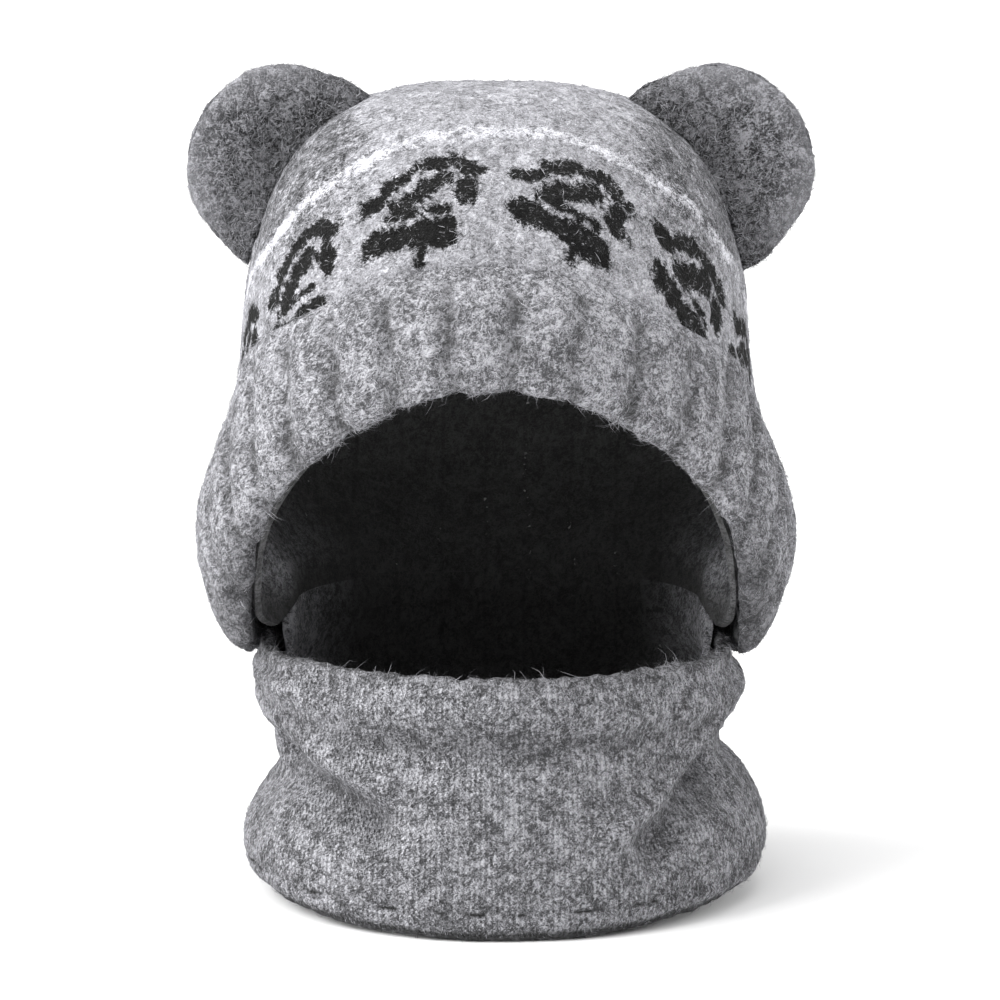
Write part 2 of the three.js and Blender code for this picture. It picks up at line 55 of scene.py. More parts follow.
def make_camera():
    """The camera looks 8 degrees down along +Y at the middle of the hood, from 1.3 m."""
    data = bpy.data.cameras.new("camera")
    data.lens = CAMERA_LENS
    data.sensor_width = CAMERA_SENSOR
    data.clip_start = 0.05
    data.clip_end = 60.0
    camera = bpy.data.objects.new("camera", data)
    back = np.array([0.0, -np.cos(CAMERA_PITCH), np.sin(CAMERA_PITCH)])
    camera.location = (CAMERA_AIM + CAMERA_DISTANCE * back) * MM
    camera.rotation_euler = (np.pi / 2 - CAMERA_PITCH, 0.0, 0.0)
    bpy.context.collection.objects.link(camera)
    bpy.context.scene.camera = camera


make_camera()

# Sizes, the same as the part's

KNIT_WALL = 5.0
LINING_WALL = 2.5
SEAM_GAP = 0.3
CUFF_EASE = 0.5
LINING_EASE = 1.2

HAT_WIDTH = 185.0
HAT_DEPTH = 208.0
DOME_RISE = 123.5
LOWER_REACH = 173.0
CHEEK_SWELL = 11.2
CHEEK_DROP = 38.0
CHEEK_SPREAD = 38.0
CROWN_TILT = np.radians(35.0)

CUFF_HEIGHT = 40.8
CUFF_THICKNESS = 12.5
BROW_HEIGHT = 21.5
NAPE_DROP = 94.0
SEAM_ROLL = 3.5
RIB_COUNT = 30
RIB_PHASE = 0.31
RIB_DEPTH = 2.4

EAR_RADIUS = 33.2
EAR_THICKNESS = 21.0
EAR_ANGLE = np.radians(39.7)
EAR_FRONT = 8.0
EAR_SHIFT = 1.8
EAR_STANDOFF = 3.4
EAR_LEAN = np.radians(55.0)
EAR_SHOULDER = 1.8
EAR_FLARE = 6.5
EAR_CUP = 4.0

NECK_WIDTH = 194.0
NECK_DEPTH = 187.0
NECK_TOP_DROP = 82.4
NECK_HEIGHT = 89.6
NECK_SHIFT = 1.6
SIDE_TUCK = 3.4
HEM_LIFT = 4.5
LINING_HEM_MARGIN = 15.0
LINING_STEP = 7.0

PLAN_POWER = 2.2
SIDE_POWER = 3.0
FRONT_POWER = 2.4
NECK_PLAN_POWER = 2.05
LINING_LIP_SHARE = 0.9

WIDEST_Z = LINING_WALL + LINING_EASE + KNIT_WALL - DOME_RISE
EDGE_FALL = BROW_HEIGHT + NAPE_DROP
NECK_TOP_Z = WIDEST_Z - NECK_TOP_DROP
MIDDLE = np.array([0.0, 0.0, WIDEST_Z])

# turn, seam azimuth, seam fall, edge azimuth, edge fall
CUFF_COURSE = np.array([
    [0.000, 0, 0.000, 0, 0.000],
    [0.077, 15, 0.024, 12.3, 0.026],
    [0.157, 30, 0.104, 24.5, 0.113],
    [0.241, 45, 0.202, 36.5, 0.243],
    [0.306, 57, 0.275, 44.5, 0.364],
    [0.377, 68, 0.375, 50, 0.515],
    [0.459, 80, 0.557, 58, 0.710],
    [0.551, 95, 0.747, 75, 0.882],
    [0.658, 115, 0.877, 103, 0.958],
    [0.789, 140, 0.946, 135, 0.983],
    [1.000, 180, 1.000, 180, 1.000],
])

# along, out, rib: the cuff's section from the seam over the outside and the lip to the inside
CUFF_SECTION = np.array([
    [0.00, 0.08, 0.0],
    [-0.03, 0.17, 0.0],
    [0.00, 0.32, 0.1],
    [0.10, 0.55, 0.5],
    [0.32, 0.91, 1.0],
    [0.62, 1.00, 1.0],
    [0.80, 0.97, 0.9],
    [0.92, 0.80, 0.7],
    [0.99, 0.46, 0.5],
    [1.01, 0.04, 0.3],
    [0.985, -0.42, 0.1],
    [0.92, -0.78, 0.0],
    [0.80, -0.96, 0.0],
    [0.55, -1.00, 0.0],
    [0.24, -1.00, 0.0],
    [0.00, -1.00, 0.0],
])

# down, left, right, front, back: the gaiter's outline
NECK_OUTLINE = np.array([
    [0.000, 0.868, 0.856, 0.952, 0.905],
    [0.060, 0.874, 0.861, 0.968, 0.908],
    [0.120, 0.914, 0.893, 0.972, 0.916],
    [0.180, 0.920, 0.940, 0.948, 0.935],
    [0.245, 0.893, 0.920, 0.915, 0.938],
    [0.310, 0.870, 0.880, 0.932, 0.920],
    [0.370, 0.862, 0.842, 0.955, 0.904],
    [0.430, 0.862, 0.839, 0.964, 0.896],
    [0.480, 0.852, 0.848, 0.970, 0.902],
    [0.525, 0.842, 0.892, 0.976, 0.920],
    [0.580, 0.867, 0.936, 0.981, 0.944],
    [0.640, 0.908, 0.971, 0.986, 0.965],
    [0.720, 0.953, 1.001, 0.992, 0.986],
    [0.820, 0.981, 1.017, 0.998, 1.000],
    [0.920, 0.981, 1.012, 1.000, 0.996],
    [0.970, 0.955, 0.982, 0.994, 0.980],
    [1.000, 0.918, 0.940, 0.980, 0.958],
])

# from azimuth, from down, to azimuth, to down, out, reach: slanting folds in the gaiter
NECK_FOLDS = (
    (-80, 0.24, -27, 0.44, 4.0, 6.5),
    (-68, 0.40, -30, 0.58, -7.0, 8.0),
    (62, 0.30, 24, 0.62, 4.2, 6.5),
    (63, 0.42, 35, 0.66, -6.8, 8.0),
    (58, 0.55, 63, 0.57, -2.4, 7.0),
    (150, 0.34, 200, 0.46, -3.0, 9.0),
)

# Plain helpers


def smoothstep(value, low, high):
    """0 under low, 1 over high, and 3s^2 - 2s^3 between them."""
    s = np.clip((value - low) / (high - low), 0.0, 1.0)
    return s * s * (3.0 - 2.0 * s)


def mix(a, b, share):
    """a at share 0, b at share 1, straight between."""
    return a + (b - a) * share


def read_table(table, column, place):
    """Cubic Hermite value of one column of a table at places along its first column."""
    x = table[:, 0]
    y = table[:, column]
    slope = np.empty_like(y)
    slope[1:-1] = (y[2:] - y[:-2]) / (x[2:] - x[:-2])
    slope[0] = (y[1] - y[0]) / (x[1] - x[0])
    slope[-1] = (y[-1] - y[-2]) / (x[-1] - x[-2])
    k = np.clip(np.searchsorted(x, place, side="right") - 1, 0, len(x) - 2)
    span = x[k + 1] - x[k]
    s = (place - x[k]) / span
    ease = s * s * (3.0 - 2.0 * s)
    rise = s * (1.0 - s) ** 2 * span * slope[k]
    fall = s * s * (s - 1.0) * span * slope[k + 1]
    return y[k] * (1.0 - ease) + y[k + 1] * ease + rise + fall


LATTICE_PRIMES = (73856093, 19349663, 83492791)
LATTICE_VALUES = 4096


def lattice_noise(points, size, seed):
    """Smooth noise from -1 to 1: random values on a cubic lattice of that size, eased between corners."""
    rng = np.random.default_rng(seed)
    values = rng.uniform(-1.0, 1.0, LATTICE_VALUES)
    place = points / size
    cell = np.floor(place).astype(np.int64)
    s = place - cell
    s = s * s * (3.0 - 2.0 * s)
    total = np.zeros(points.shape[:-1])
    for dx in (0, 1):
        for dy in (0, 1):
            for dz in (0, 1):
                mixed = (cell + np.array([dx, dy, dz])) * np.array(LATTICE_PRIMES)
                key = mixed[..., 0] ^ mixed[..., 1] ^ mixed[..., 2]
                weight = np.ones(points.shape[:-1])
                for axis, side in enumerate((dx, dy, dz)):
                    weight = weight * (s[..., axis] if side else 1.0 - s[..., axis])
                total += weight * values[key % LATTICE_VALUES]
    return total


def soft_relief(points, *layers):
    """Sum of lattice noises, each layer being its size, its height and its seed."""
    return sum(lattice_noise(points, size, seed) * height for size, height, seed in layers)


def unit(vectors):
    """The same directions with length 1."""
    return vectors / np.maximum(np.linalg.norm(vectors, axis=-1, keepdims=True), 1e-12)


def degrees_from_front(azimuth):
    """Angle between an azimuth and the front, 0 to 180 degrees on either side."""
    return np.degrees(np.abs(np.arctan2(np.sin(azimuth), np.cos(azimuth))))


# The hat's plain form


def plan_radius(azimuth, half_width, half_depth, power):
    """Radius of a superellipse in the direction of an azimuth from the front."""
    across = np.abs(np.sin(azimuth)) / half_width
    deep = np.abs(np.cos(azimuth)) / half_depth
    return (across ** power + deep ** power) ** (-1.0 / power)


def swell_at(height):
    """How much wider the hat is at ear height: 1 plus a bell curve."""
    away = (height + CHEEK_DROP) / CHEEK_SPREAD
    return 1.0 + CHEEK_SWELL / (HAT_WIDTH / 2.0) * np.exp(-away * away)


def hat_level(points):
    """1 on the hat's outside: a superellipse in plan, and another one of height against radius."""
    height = points[..., 2] - WIDEST_Z
    x = points[..., 0] / swell_at(height)
    y = points[..., 1]
    azimuth = np.arctan2(x, -y)
    power = mix(FRONT_POWER, SIDE_POWER, np.sin(azimuth) ** 2)
    radius = plan_radius(azimuth, HAT_WIDTH / 2.0, HAT_DEPTH / 2.0, PLAN_POWER)
    reach = np.where(height > 0, DOME_RISE, LOWER_REACH)
    return ((np.hypot(x, y) / radius) ** power + (np.abs(height) / reach) ** power) ** (1.0 / power)


def hat_normal(points):
    """Outward direction of the hat's form, from the slope of its level along each axis."""
    slopes = []
    for axis in range(3):
        step = np.zeros(3)
        step[axis] = 0.05
        slopes.append(hat_level(points + step) - hat_level(points - step))
    return unit(np.stack(slopes, -1))


def hat_towards(directions, out):
    """Point of the hat's outside in a direction from its middle, moved out along the normal."""
    distance = np.full(directions.shape[:-1], HAT_WIDTH / 2.0)
    for _ in range(8):
        distance = distance / hat_level(MIDDLE + directions * distance[..., None])
    points = MIDDLE + directions * distance[..., None]
    return points + hat_normal(points) * np.asarray(out)[..., None]


def hat_at(azimuth, height, out):
    """Point of the hat's outside at an azimuth and a height over its widest level, moved out."""
    power = mix(FRONT_POWER, SIDE_POWER, np.sin(azimuth) ** 2)
    reach = np.where(height > 0, DOME_RISE, LOWER_REACH)
    shrink = (1.0 - (np.abs(height) / reach) ** power) ** (1.0 / power)
    radius = plan_radius(azimuth, HAT_WIDTH / 2.0, HAT_DEPTH / 2.0, PLAN_POWER) * shrink
    x = radius * np.sin(azimuth) * swell_at(height)
    points = np.stack([x, -radius * np.cos(azimuth), WIDEST_Z + height], -1)
    return points + hat_normal(points) * np.asarray(out)[..., None]


WHOLE_COURSE = np.vstack([
    CUFF_COURSE[2:0:-1] * [-1, -1, 1, -1, 1],
    CUFF_COURSE,
    [2, 360, 0, 360, 0] + CUFF_COURSE[-2:-4:-1] * [-1, -1, 1, -1, 1],
])


POLE = np.array([0.0, np.sin(CROWN_TILT), np.cos(CROWN_TILT)])
POLE_FRONT = np.array([0.0, -np.cos(CROWN_TILT), np.sin(CROWN_TILT)])


def great_circle(rim, from_top):
    """Directions from the leaning pole at 0 to the rim's own direction at 1, turning evenly."""
    angle = np.arccos(np.clip(rim @ POLE, -1, 1))
    near = (np.sin((1.0 - from_top) * angle) / np.sin(angle))[..., None] * POLE
    far = (np.sin(from_top * angle) / np.sin(angle))[..., None] * rim
    return unit(near + far)


def cuff_course(share):
    """Azimuth and height of the seam and of the cuff's edge, for shares of the whole turn."""
    side = np.where(share < 0.5, 1.0, -1.0)
    turn = np.where(share < 0.5, 2.0 * share, 2.0 - 2.0 * share)
    seam_azimuth = side * np.radians(read_table(WHOLE_COURSE, 1, turn))
    seam_height = BROW_HEIGHT + CUFF_HEIGHT - EDGE_FALL * read_table(WHOLE_COURSE, 2, turn)
    edge_azimuth = side * np.radians(read_table(WHOLE_COURSE, 3, turn))
    edge_height = BROW_HEIGHT - EDGE_FALL * read_table(WHOLE_COURSE, 4, turn)
    return seam_azimuth, seam_height - SEAM_ROLL * np.sin(seam_azimuth), edge_azimuth, edge_height


# Grids into meshes

HARD_EDGE = np.radians(50.0)


def grid_normals(points):
    """Outward normals of a grid (rows, columns) that closes along its columns."""
    along = np.roll(points, -1, axis=1) - np.roll(points, 1, axis=1)
    down = np.gradient(points, axis=0)
    return unit(np.cross(down, along))


def grid_faces(rows, columns):
    """Quads of a grid whose columns close on themselves."""
    first = np.arange(rows - 1)[:, None] * columns
    here = first + np.arange(columns)[None, :]
    right = first + (np.arange(columns)[None, :] + 1) % columns
    return np.stack([here, here + columns, right + columns, right], -1).reshape(-1, 4)


def ring_faces(rows, columns):
    """Quads of a grid that closes on itself both ways, as a ring does."""
    return grid_faces(rows + 1, columns) % (rows * columns)


def grid_uv(u, v, whole):
    """UVs of a grid's quads from its columns' u and rows' v; the last column runs on to the whole turn."""
    across = np.append(u, whole)
    left, right = across[:-1], across[1:]
    upper, lower = v[:-1], v[1:]
    shape = (len(upper), len(left))
    corners = [(left[None], upper[:, None]), (left[None], lower[:, None]),
               (right[None], lower[:, None]), (right[None], upper[:, None])]
    pairs = [np.stack([np.broadcast_to(a, shape), np.broadcast_to(b, shape)], -1) for a, b in corners]
    return np.stack(pairs, -2).reshape(-1, 4, 2)


def pole_faces(pole, ring, columns, flip=False):
    """Triangles from a pole corner to the first ring of a grid."""
    k = np.arange(columns)
    faces = np.stack([np.full(columns, pole), ring + k, ring + (k + 1) % columns], -1)
    return faces[:, ::-1] if flip else faces


def capped_faces(rows, columns):
    """Quads of a grid, and triangles from its first and last ring to the two poles stored after it."""
    count = rows * columns
    first = pole_faces(count, 0, columns)
    last = pole_faces(count + 1, count - columns, columns, flip=True)
    return grid_faces(rows, columns), np.vstack([first, last])


def signed_volume(points, quads, triangles):
    """Sum of the corner tetrahedra's volumes, above 0 where faces point outward."""
    faces = np.vstack([quads[:, [0, 1, 2]], quads[:, [0, 2, 3]], triangles])
    a, b, c = (points[faces[:, k]] for k in range(3))
    return np.einsum("ij,ij->i", a, np.cross(b, c)).sum() / 6.0


def build_piece(name, points, quads, triangles, material,
                replaces=(), uv=None, marks=None, sharp=False):
    """A named mesh in the part's frame from arrays, faces outward, with its UVs and point attributes.

    uv has a place for each corner of each quad; sharp keeps edges over HARD_EDGE hard.
    """
    quads = np.asarray(quads, dtype=np.int64).reshape(-1, 4)
    triangles = np.asarray(triangles, dtype=np.int64).reshape(-1, 3)
    if signed_volume(points, quads, triangles) < 0:
        quads = quads[:, ::-1]
        triangles = triangles[:, ::-1]
        uv = None if uv is None else uv[:, ::-1]
    mesh = bpy.data.meshes.new(name)
    corners = np.concatenate([quads.ravel(), triangles.ravel()])
    starts = np.concatenate([np.arange(len(quads)) * 4, len(quads) * 4 + np.arange(len(triangles)) * 3])
    mesh.vertices.add(len(points))
    mesh.vertices.foreach_set("co", (points * MM).astype(np.float32).ravel())
    mesh.loops.add(len(corners))
    mesh.loops.foreach_set("vertex_index", corners.astype(np.int32))
    mesh.polygons.add(len(starts))
    mesh.polygons.foreach_set("loop_start", starts.astype(np.int32))
    mesh.update(calc_edges=True)
    mesh.validate()
    mesh.polygons.foreach_set("use_smooth", np.ones(len(mesh.polygons), dtype=bool))
    if sharp:
        mesh.set_sharp_from_angle(angle=HARD_EDGE)
    if uv is not None:
        layer = mesh.uv_layers.new(name="knit")
        layer.data.foreach_set("uv", uv.astype(np.float32).ravel())
    for mark, values in (marks or {}).items():
        attribute = mesh.attributes.new(mark, "FLOAT", "POINT")
        attribute.data.foreach_set("value", np.asarray(values, dtype=np.float32))
    mesh.materials.append(material)
    piece = bpy.data.objects.new(name, mesh)
    bpy.context.collection.objects.link(piece)
    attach(piece, "root")
    if replaces:
        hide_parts(*replaces)
    return piece


# The crown and its knit-in chart

# ring angle from the front, angle of the pale stripe from the leaning pole, both in degrees
STRIPE_COURSE = np.array([
    [0, 64.9], [10, 65.4], [20, 68.2], [26, 70.6], [36, 72.6], [46, 75.0],
    [58, 74.6], [80, 75.5], [100, 75.0], [135, 70.0], [180, 65.0],
])
STRIPE_HALF = 2.7

# The dark figure between the stripe and the cuff: bars from one point to another with a half
# thickness, in millimetres along the ring from its middle and down from the stripe.
FIGURE_BARS = (
    (-17.5, 19.5, -13.5, 20.5, 2.8),
    (-13.5, 20.5, -9.5, 17.2, 2.1),
    (-9.5, 17.2, -1.0, 13.6, 2.6),
    (3.0, 13.4, 11.0, 13.6, 2.5),
    (11.0, 13.6, 16.0, 18.2, 2.6),
    (16.0, 18.2, 19.0, 18.8, 1.7),
    (-7.0, 26.5, 6.5, 20.8, 3.3),
    (14.0, 24.2, 15.0, 28.4, 3.4),
    (-11.5, 27.5, -3.0, 30.5, 1.1),
    (-3.0, 30.5, 8.0, 32.5, 1.2),
    (-16.5, 33.5, -12.0, 35.5, 4.2),
    (-12.0, 35.5, -1.0, 39.0, 3.0),
    (-1.0, 38.4, 8.0, 40.5, 4.5),
    (0.5, 42.0, -0.5, 46.5, 1.8),
)
FIGURE_COUNT = 14
RING_RADIUS = 108.0
STITCH_WIDE = 2.1
STITCH_TALL = 1.7
STITCH_STEP = 0.65


def ring_place(points):
    """Ring angle from the front and angle from the leaning pole, in degrees, and the radius."""
    away = points - MIDDLE
    radius = np.linalg.norm(away, axis=-1)
    theta = np.degrees(np.arccos(np.clip(away @ POLE / radius, -1, 1)))
    phi = np.degrees(np.arctan2(away[..., 0] - EAR_SHIFT / 3.0, away @ POLE_FRONT))
    return phi, theta, radius


def bar_distance(u, v, bar):
    """Distance from a bar's middle line, less its half thickness."""
    u0, v0, u1, v1, half = bar
    length = (u1 - u0) ** 2 + (v1 - v0) ** 2
    share = np.clip(((u - u0) * (u1 - u0) + (v - v0) * (v1 - v0)) / length, 0, 1)
    return np.hypot(u - u0 - share * (u1 - u0), v - v0 - share * (v1 - v0)) - half


def crown_chart(points):
    """Stripe and figure, each 0 to 1 with soft edges, worked out on a lattice of stitches."""
    phi, theta, radius = ring_place(points)
    stripe_theta = read_table(STRIPE_COURSE, 1, np.abs(phi))
    along = np.radians(phi) * RING_RADIUS
    down = np.radians(theta - stripe_theta) * radius
    wobble = lattice_noise(points, 4.0, 31) * 1.1
    stripe = 1.0 - smoothstep(np.abs(down + wobble) - STRIPE_HALF, -2.4, 2.2)
    broken = soft_relief(points, (8.0, 1.0, 32), (3.0, 0.5, 34))
    stripe = stripe * np.clip(0.66 + 0.60 * broken, 0.0, 1.0)
    column = np.floor(along / STITCH_WIDE) * STITCH_WIDE + STITCH_WIDE / 2
    row = np.floor(down / STITCH_TALL + 0.25 * np.sin(along * 2 * np.pi / STITCH_WIDE)) * STITCH_TALL
    row = row + STITCH_TALL / 2
    u = mix(column, along, 1.0 - STITCH_STEP)
    v = mix(row, down, 1.0 - STITCH_STEP)
    step = 2 * np.pi / FIGURE_COUNT * RING_RADIUS
    local = u - (np.floor(u / step) + 0.5) * step
    figure_and_shade = np.min([bar_distance(local, v, bar) for bar in FIGURE_BARS], axis=0)
    figure_and_shade = figure_and_shade - 0.6 + lattice_noise(points, 2.4, 33) * 1.3
    return stripe, 1.0 - smoothstep(figure_and_shade, -1.3, 1.1)


def painted_ear_shade(points):
    """Painted shade where an ear meets the crown: 1 round an ear's root, fading to 0 away from the ear's
    outline and forwards.
    """
    near = np.zeros(points.shape[:-1])
    for side in (-1, 1):
        centre = ear_surface(side, np.zeros(1), np.zeros(1), 0.0)[0]
        away = np.hypot(points[..., 0] - centre[0], points[..., 2] - centre[2]) - EAR_RADIUS - EAR_FLARE / 2
        ahead = np.abs(points[..., 1] - centre[1])
        here = (1.0 - smoothstep(away, -13.0, 7.0)) * (1.0 - smoothstep(ahead, 34.0, 84.0))
        near = np.maximum(near, here)
    return near


def crown_rows(rows):
    """Shares from the pole to the rim, closer together where the stripe and the figures are."""
    share = np.linspace(0.0, 1.0, rows)
    bend = 1.0 - (1.0 - share) ** 1.7
    return mix(share, bend, 0.55)


def crown_surface(share, from_top, out):
    """From the leaning pole along great circles to the seam, moved out along the hat's normal."""
    seam_azimuth, seam_height, _, _ = cuff_course(share)
    rim = unit(hat_at(seam_azimuth, seam_height + SEAM_GAP, 0.0) - MIDDLE)
    return hat_towards(great_circle(rim, from_top), out)


CROWN_COLUMNS = 480
CROWN_ROWS = 100
CROWN_INNER_ROWS = 12


def crown_arrays():
    """Outside and inside of the crown, with a rounded rim between them, and the chart's values."""
    share = np.arange(CROWN_COLUMNS) / CROWN_COLUMNS
    outer_rows = crown_rows(CROWN_ROWS)[1:]
    s, t = np.meshgrid(share, outer_rows)
    outer = crown_surface(s, t, np.zeros(s.shape))
    normal = hat_normal(outer)
    soft = soft_relief(outer, (13.0, 0.55, 1), (4.5, 0.35, 2), (1.9, 0.22, 3))
    fade = smoothstep(1.0 - t, 0.0, 0.05)
    stripe, figure_and_shade = crown_chart(outer)
    dent = -0.35 * figure_and_shade + 0.25 * stripe
    outer = outer + normal * ((soft + dent) * (0.35 + 0.65 * fade) + 0.4)[..., None]
    inner_rows = np.linspace(1.0, 0.0, CROWN_INNER_ROWS + 1)[:-1]
    s2, t2 = np.meshgrid(share, inner_rows)
    inner = crown_surface(s2, t2, np.full(s2.shape, -KNIT_WALL))
    top = crown_surface(np.array([0.0]), np.array([0.0]), np.array([0.4]))
    bottom = crown_surface(np.array([0.0]), np.array([0.0]), np.array([-KNIT_WALL]))
    return outer, inner, top, bottom, stripe, figure_and_shade


def make_crown(material):
    """The crown's closed wall, with stripe, figure and the painted shade by the ears as point attributes."""
    outer, inner, top, bottom, stripe, figure_and_shade = crown_arrays()
    points = np.vstack([outer.reshape(-1, 3), inner.reshape(-1, 3), top, bottom])
    quads, triangles = capped_faces(len(outer) + len(inner), CROWN_COLUMNS)
    chart = {"stripe": stripe, "figure_and_shade": figure_and_shade, "ear_shade": painted_ear_shade(outer)}
    inside = np.zeros(len(points) - stripe.size)
    marks = {mark: np.concatenate([values.ravel(), inside]) for mark, values in chart.items()}
    build_piece("crown_knit", points, quads, triangles, material, ["crown"], marks=marks)
    return outer, chart


# The ribbed cuff

CUFF_COLUMNS = 660
CUFF_ROWS = 62
CUFF_LIP_ROW = 45
CUFF_LIP_POINT = 9
CUFF_SHOWN_ROWS = int(CUFF_ROWS * 0.76)
GROOVE_HALF = 0.17


def rib_relief(share):
    """0 on a rib's back, down to -1 in a narrow groove between two ribs."""
    place = share * RIB_COUNT - RIB_PHASE
    from_groove = np.abs(place - np.round(place))
    return -np.exp(-((from_groove / GROOVE_HALF) ** 2))


def cuff_section():
    """The section's table read by its own length, as along, out and rib; most rows lie on the outside."""
    table = CUFF_SECTION
    size = np.array([CUFF_HEIGHT, CUFF_THICKNESS - KNIT_WALL])
    step = np.linalg.norm(np.diff(table[:, :2] * size, axis=0), axis=1)
    length = np.concatenate([[0.0], np.cumsum(step)])
    curve = np.column_stack([length, table])
    place = np.concatenate([
        np.linspace(0, length[CUFF_LIP_POINT], CUFF_SHOWN_ROWS, endpoint=False),
        np.linspace(length[CUFF_LIP_POINT], length[-1], CUFF_ROWS - CUFF_SHOWN_ROWS),
    ])
    return [read_table(curve, column, place) for column in (1, 2, 3)]


def cuff_arrays():
    """Grid round the hood and round the section, with ribs that fan out from the seam to the edge."""
    share = np.arange(CUFF_COLUMNS) / CUFF_COLUMNS
    along, out, rib = cuff_section()
    s, a = np.meshgrid(share, along)
    o = np.repeat(out[:, None], CUFF_COLUMNS, axis=1)
    r = np.repeat(rib[:, None], CUFF_COLUMNS, axis=1)
    seam_azimuth, seam_height, edge_azimuth, edge_height = cuff_course(s)
    azimuth = mix(seam_azimuth, edge_azimuth, a)
    height = mix(seam_height - CUFF_EASE, edge_height, a)
    swell = np.where(o > 0, o * (CUFF_THICKNESS - KNIT_WALL), o * KNIT_WALL)
    base = hat_at(azimuth, height, swell)
    ragged = 0.030 * rib_relief(s) + 0.025 * lattice_noise(base, 7.0, 8)
    ragged = (ragged + 0.012 * lattice_noise(base, 2.5, 9)) * smoothstep(a, 0.7, 1.0)
    azimuth = mix(seam_azimuth, edge_azimuth, a + ragged)
    height = mix(seam_height - CUFF_EASE, edge_height, a + ragged)
    wander = lattice_noise(base, 16.0, 7) * 0.012
    relief = RIB_DEPTH * r * rib_relief(s + wander / RIB_COUNT * 6.0)
    shown = smoothstep(o, -0.6, 0.2)
    soft = soft_relief(base, (15.0, 0.7, 4), (5.0, 0.45, 5), (1.9, 0.25, 6))
    base = hat_at(azimuth, height, swell + relief + soft * shown)
    return base, s, a, shown


def make_cuff(material):
    """The cuff as one closed ring, with painted shade for its grooves and for its turned-in lip at the cheeks
    as point attributes.
    """
    grid, share, along, shown = cuff_arrays()
    # groove: where painted shade goes down in the rib grooves.
    groove = -rib_relief(share) * smoothstep(along, 0.02, 0.2) * shown
    # turned: painted shade on the turned-in lip and inside of the cuff, low at the cheeks.
    low = smoothstep(WIDEST_Z - grid[..., 2], 12.0, 55.0)
    turned = np.maximum(smoothstep(along, 0.66, 1.0), 1.0 - shown) * low
    marks = {"groove": groove.ravel(), "turned": turned.ravel()}
    quads = ring_faces(CUFF_ROWS, CUFF_COLUMNS)
    build_piece("cuff_rib_knit", grid.reshape(-1, 3), quads, [], material, ["cuff"], marks=marks)
    return grid, shown, turned


# The neck gaiter

NECK_COLUMNS = 420
NECK_ROWS = 110
NECK_SHOWN_ROWS = int(NECK_ROWS * 0.7)
NECK_WALES = 298
NECK_COURSE = 1.7
HEM_SEAM = 0.905
HEM_EDGE = 0.972
CHEEK_LEAN_LEFT = 4.6
CHEEK_LEAN_RIGHT = 3.2


def folds_at(azimuth, down):
    """Sum of bell-shaped ridges and valleys along slanting lines, in millimetres."""
    per_radian = NECK_WIDTH / 2.0
    out = np.zeros(azimuth.shape)
    for from_azimuth, from_down, to_azimuth, to_down, height, reach in NECK_FOLDS:
        start = np.radians(from_azimuth)
        run = np.array([(np.radians(to_azimuth) - start) * per_radian, (to_down - from_down) * NECK_HEIGHT])
        turns = np.round((azimuth - start) / (2 * np.pi))
        here_x = (azimuth - start - turns * 2 * np.pi) * per_radian
        here_y = (down - from_down) * NECK_HEIGHT
        share = np.clip((here_x * run[0] + here_y * run[1]) / (run @ run), 0, 1)
        away = np.hypot(here_x - share * run[0], here_y - share * run[1]) / reach
        out = out + height * np.exp(-away * away)
    return out


def cheek_lean(azimuth, down):
    """How far the gaiter's top leans outwards to the cuff at each cheek, in millimetres."""
    from_front = degrees_from_front(azimuth)
    start = smoothstep(from_front, 44.0, 62.0) * (1.0 - smoothstep(down, 0.08, 0.19))
    left = CHEEK_LEAN_LEFT * (1.0 - smoothstep(from_front, 86.0, 112.0))
    right = CHEEK_LEAN_RIGHT * (1.0 - smoothstep(from_front, 74.0, 92.0))
    return start * np.where(np.sin(azimuth) > 0, right, left)


def neck_surface(azimuth, down, inset, drop):
    """A superellipse in plan whose width and depth follow the outline table, with the folds on it."""
    behind = smoothstep(-np.cos(azimuth), -0.34, 0.17)
    top = NECK_TOP_Z + SIDE_TUCK * behind
    bottom = NECK_TOP_Z - NECK_HEIGHT + HEM_LIFT * np.sin(azimuth) ** 2
    left, right, front, back = (read_table(NECK_OUTLINE, column, down) for column in (1, 2, 3, 4))
    wide = np.where(np.sin(azimuth) > 0, right, left)
    deep = np.where(np.cos(azimuth) > 0, front, back)
    plain = plan_radius(azimuth, NECK_WIDTH / 2.0 * wide, NECK_DEPTH / 2.0 * deep, NECK_PLAN_POWER)
    seam = -0.8 * np.exp(-(((down - HEM_SEAM) / 0.014) ** 2))
    radius = plain + folds_at(azimuth, down) + seam - inset
    z = mix(top, bottom, down) - drop
    return np.stack([NECK_SHIFT + radius * np.sin(azimuth), -radius * np.cos(azimuth), z], -1)


def neck_section():
    """Rows down the outside, round the hem, up the inside and over the rolled top: down, inset, drop."""
    outside = np.linspace(0.045, 0.975, NECK_SHOWN_ROWS)
    turn = np.linspace(0.0, np.pi, 9)[1:-1]
    inside = np.linspace(0.97, 0.05, NECK_ROWS - len(outside) - 2 * len(turn))
    half = KNIT_WALL / 2.0
    down = np.concatenate([outside, np.full(len(turn), 1.0), inside, np.zeros(len(turn))])
    inset = np.concatenate([
        np.zeros(len(outside)), half * (1 - np.cos(turn)),
        np.full(len(inside), KNIT_WALL), half * (1 + np.cos(turn)),
    ])
    drop = np.concatenate([
        np.zeros(len(outside)), 1.2 * np.sin(turn), np.zeros(len(inside)), -1.7 * np.sin(turn),
    ])
    return down, inset, drop


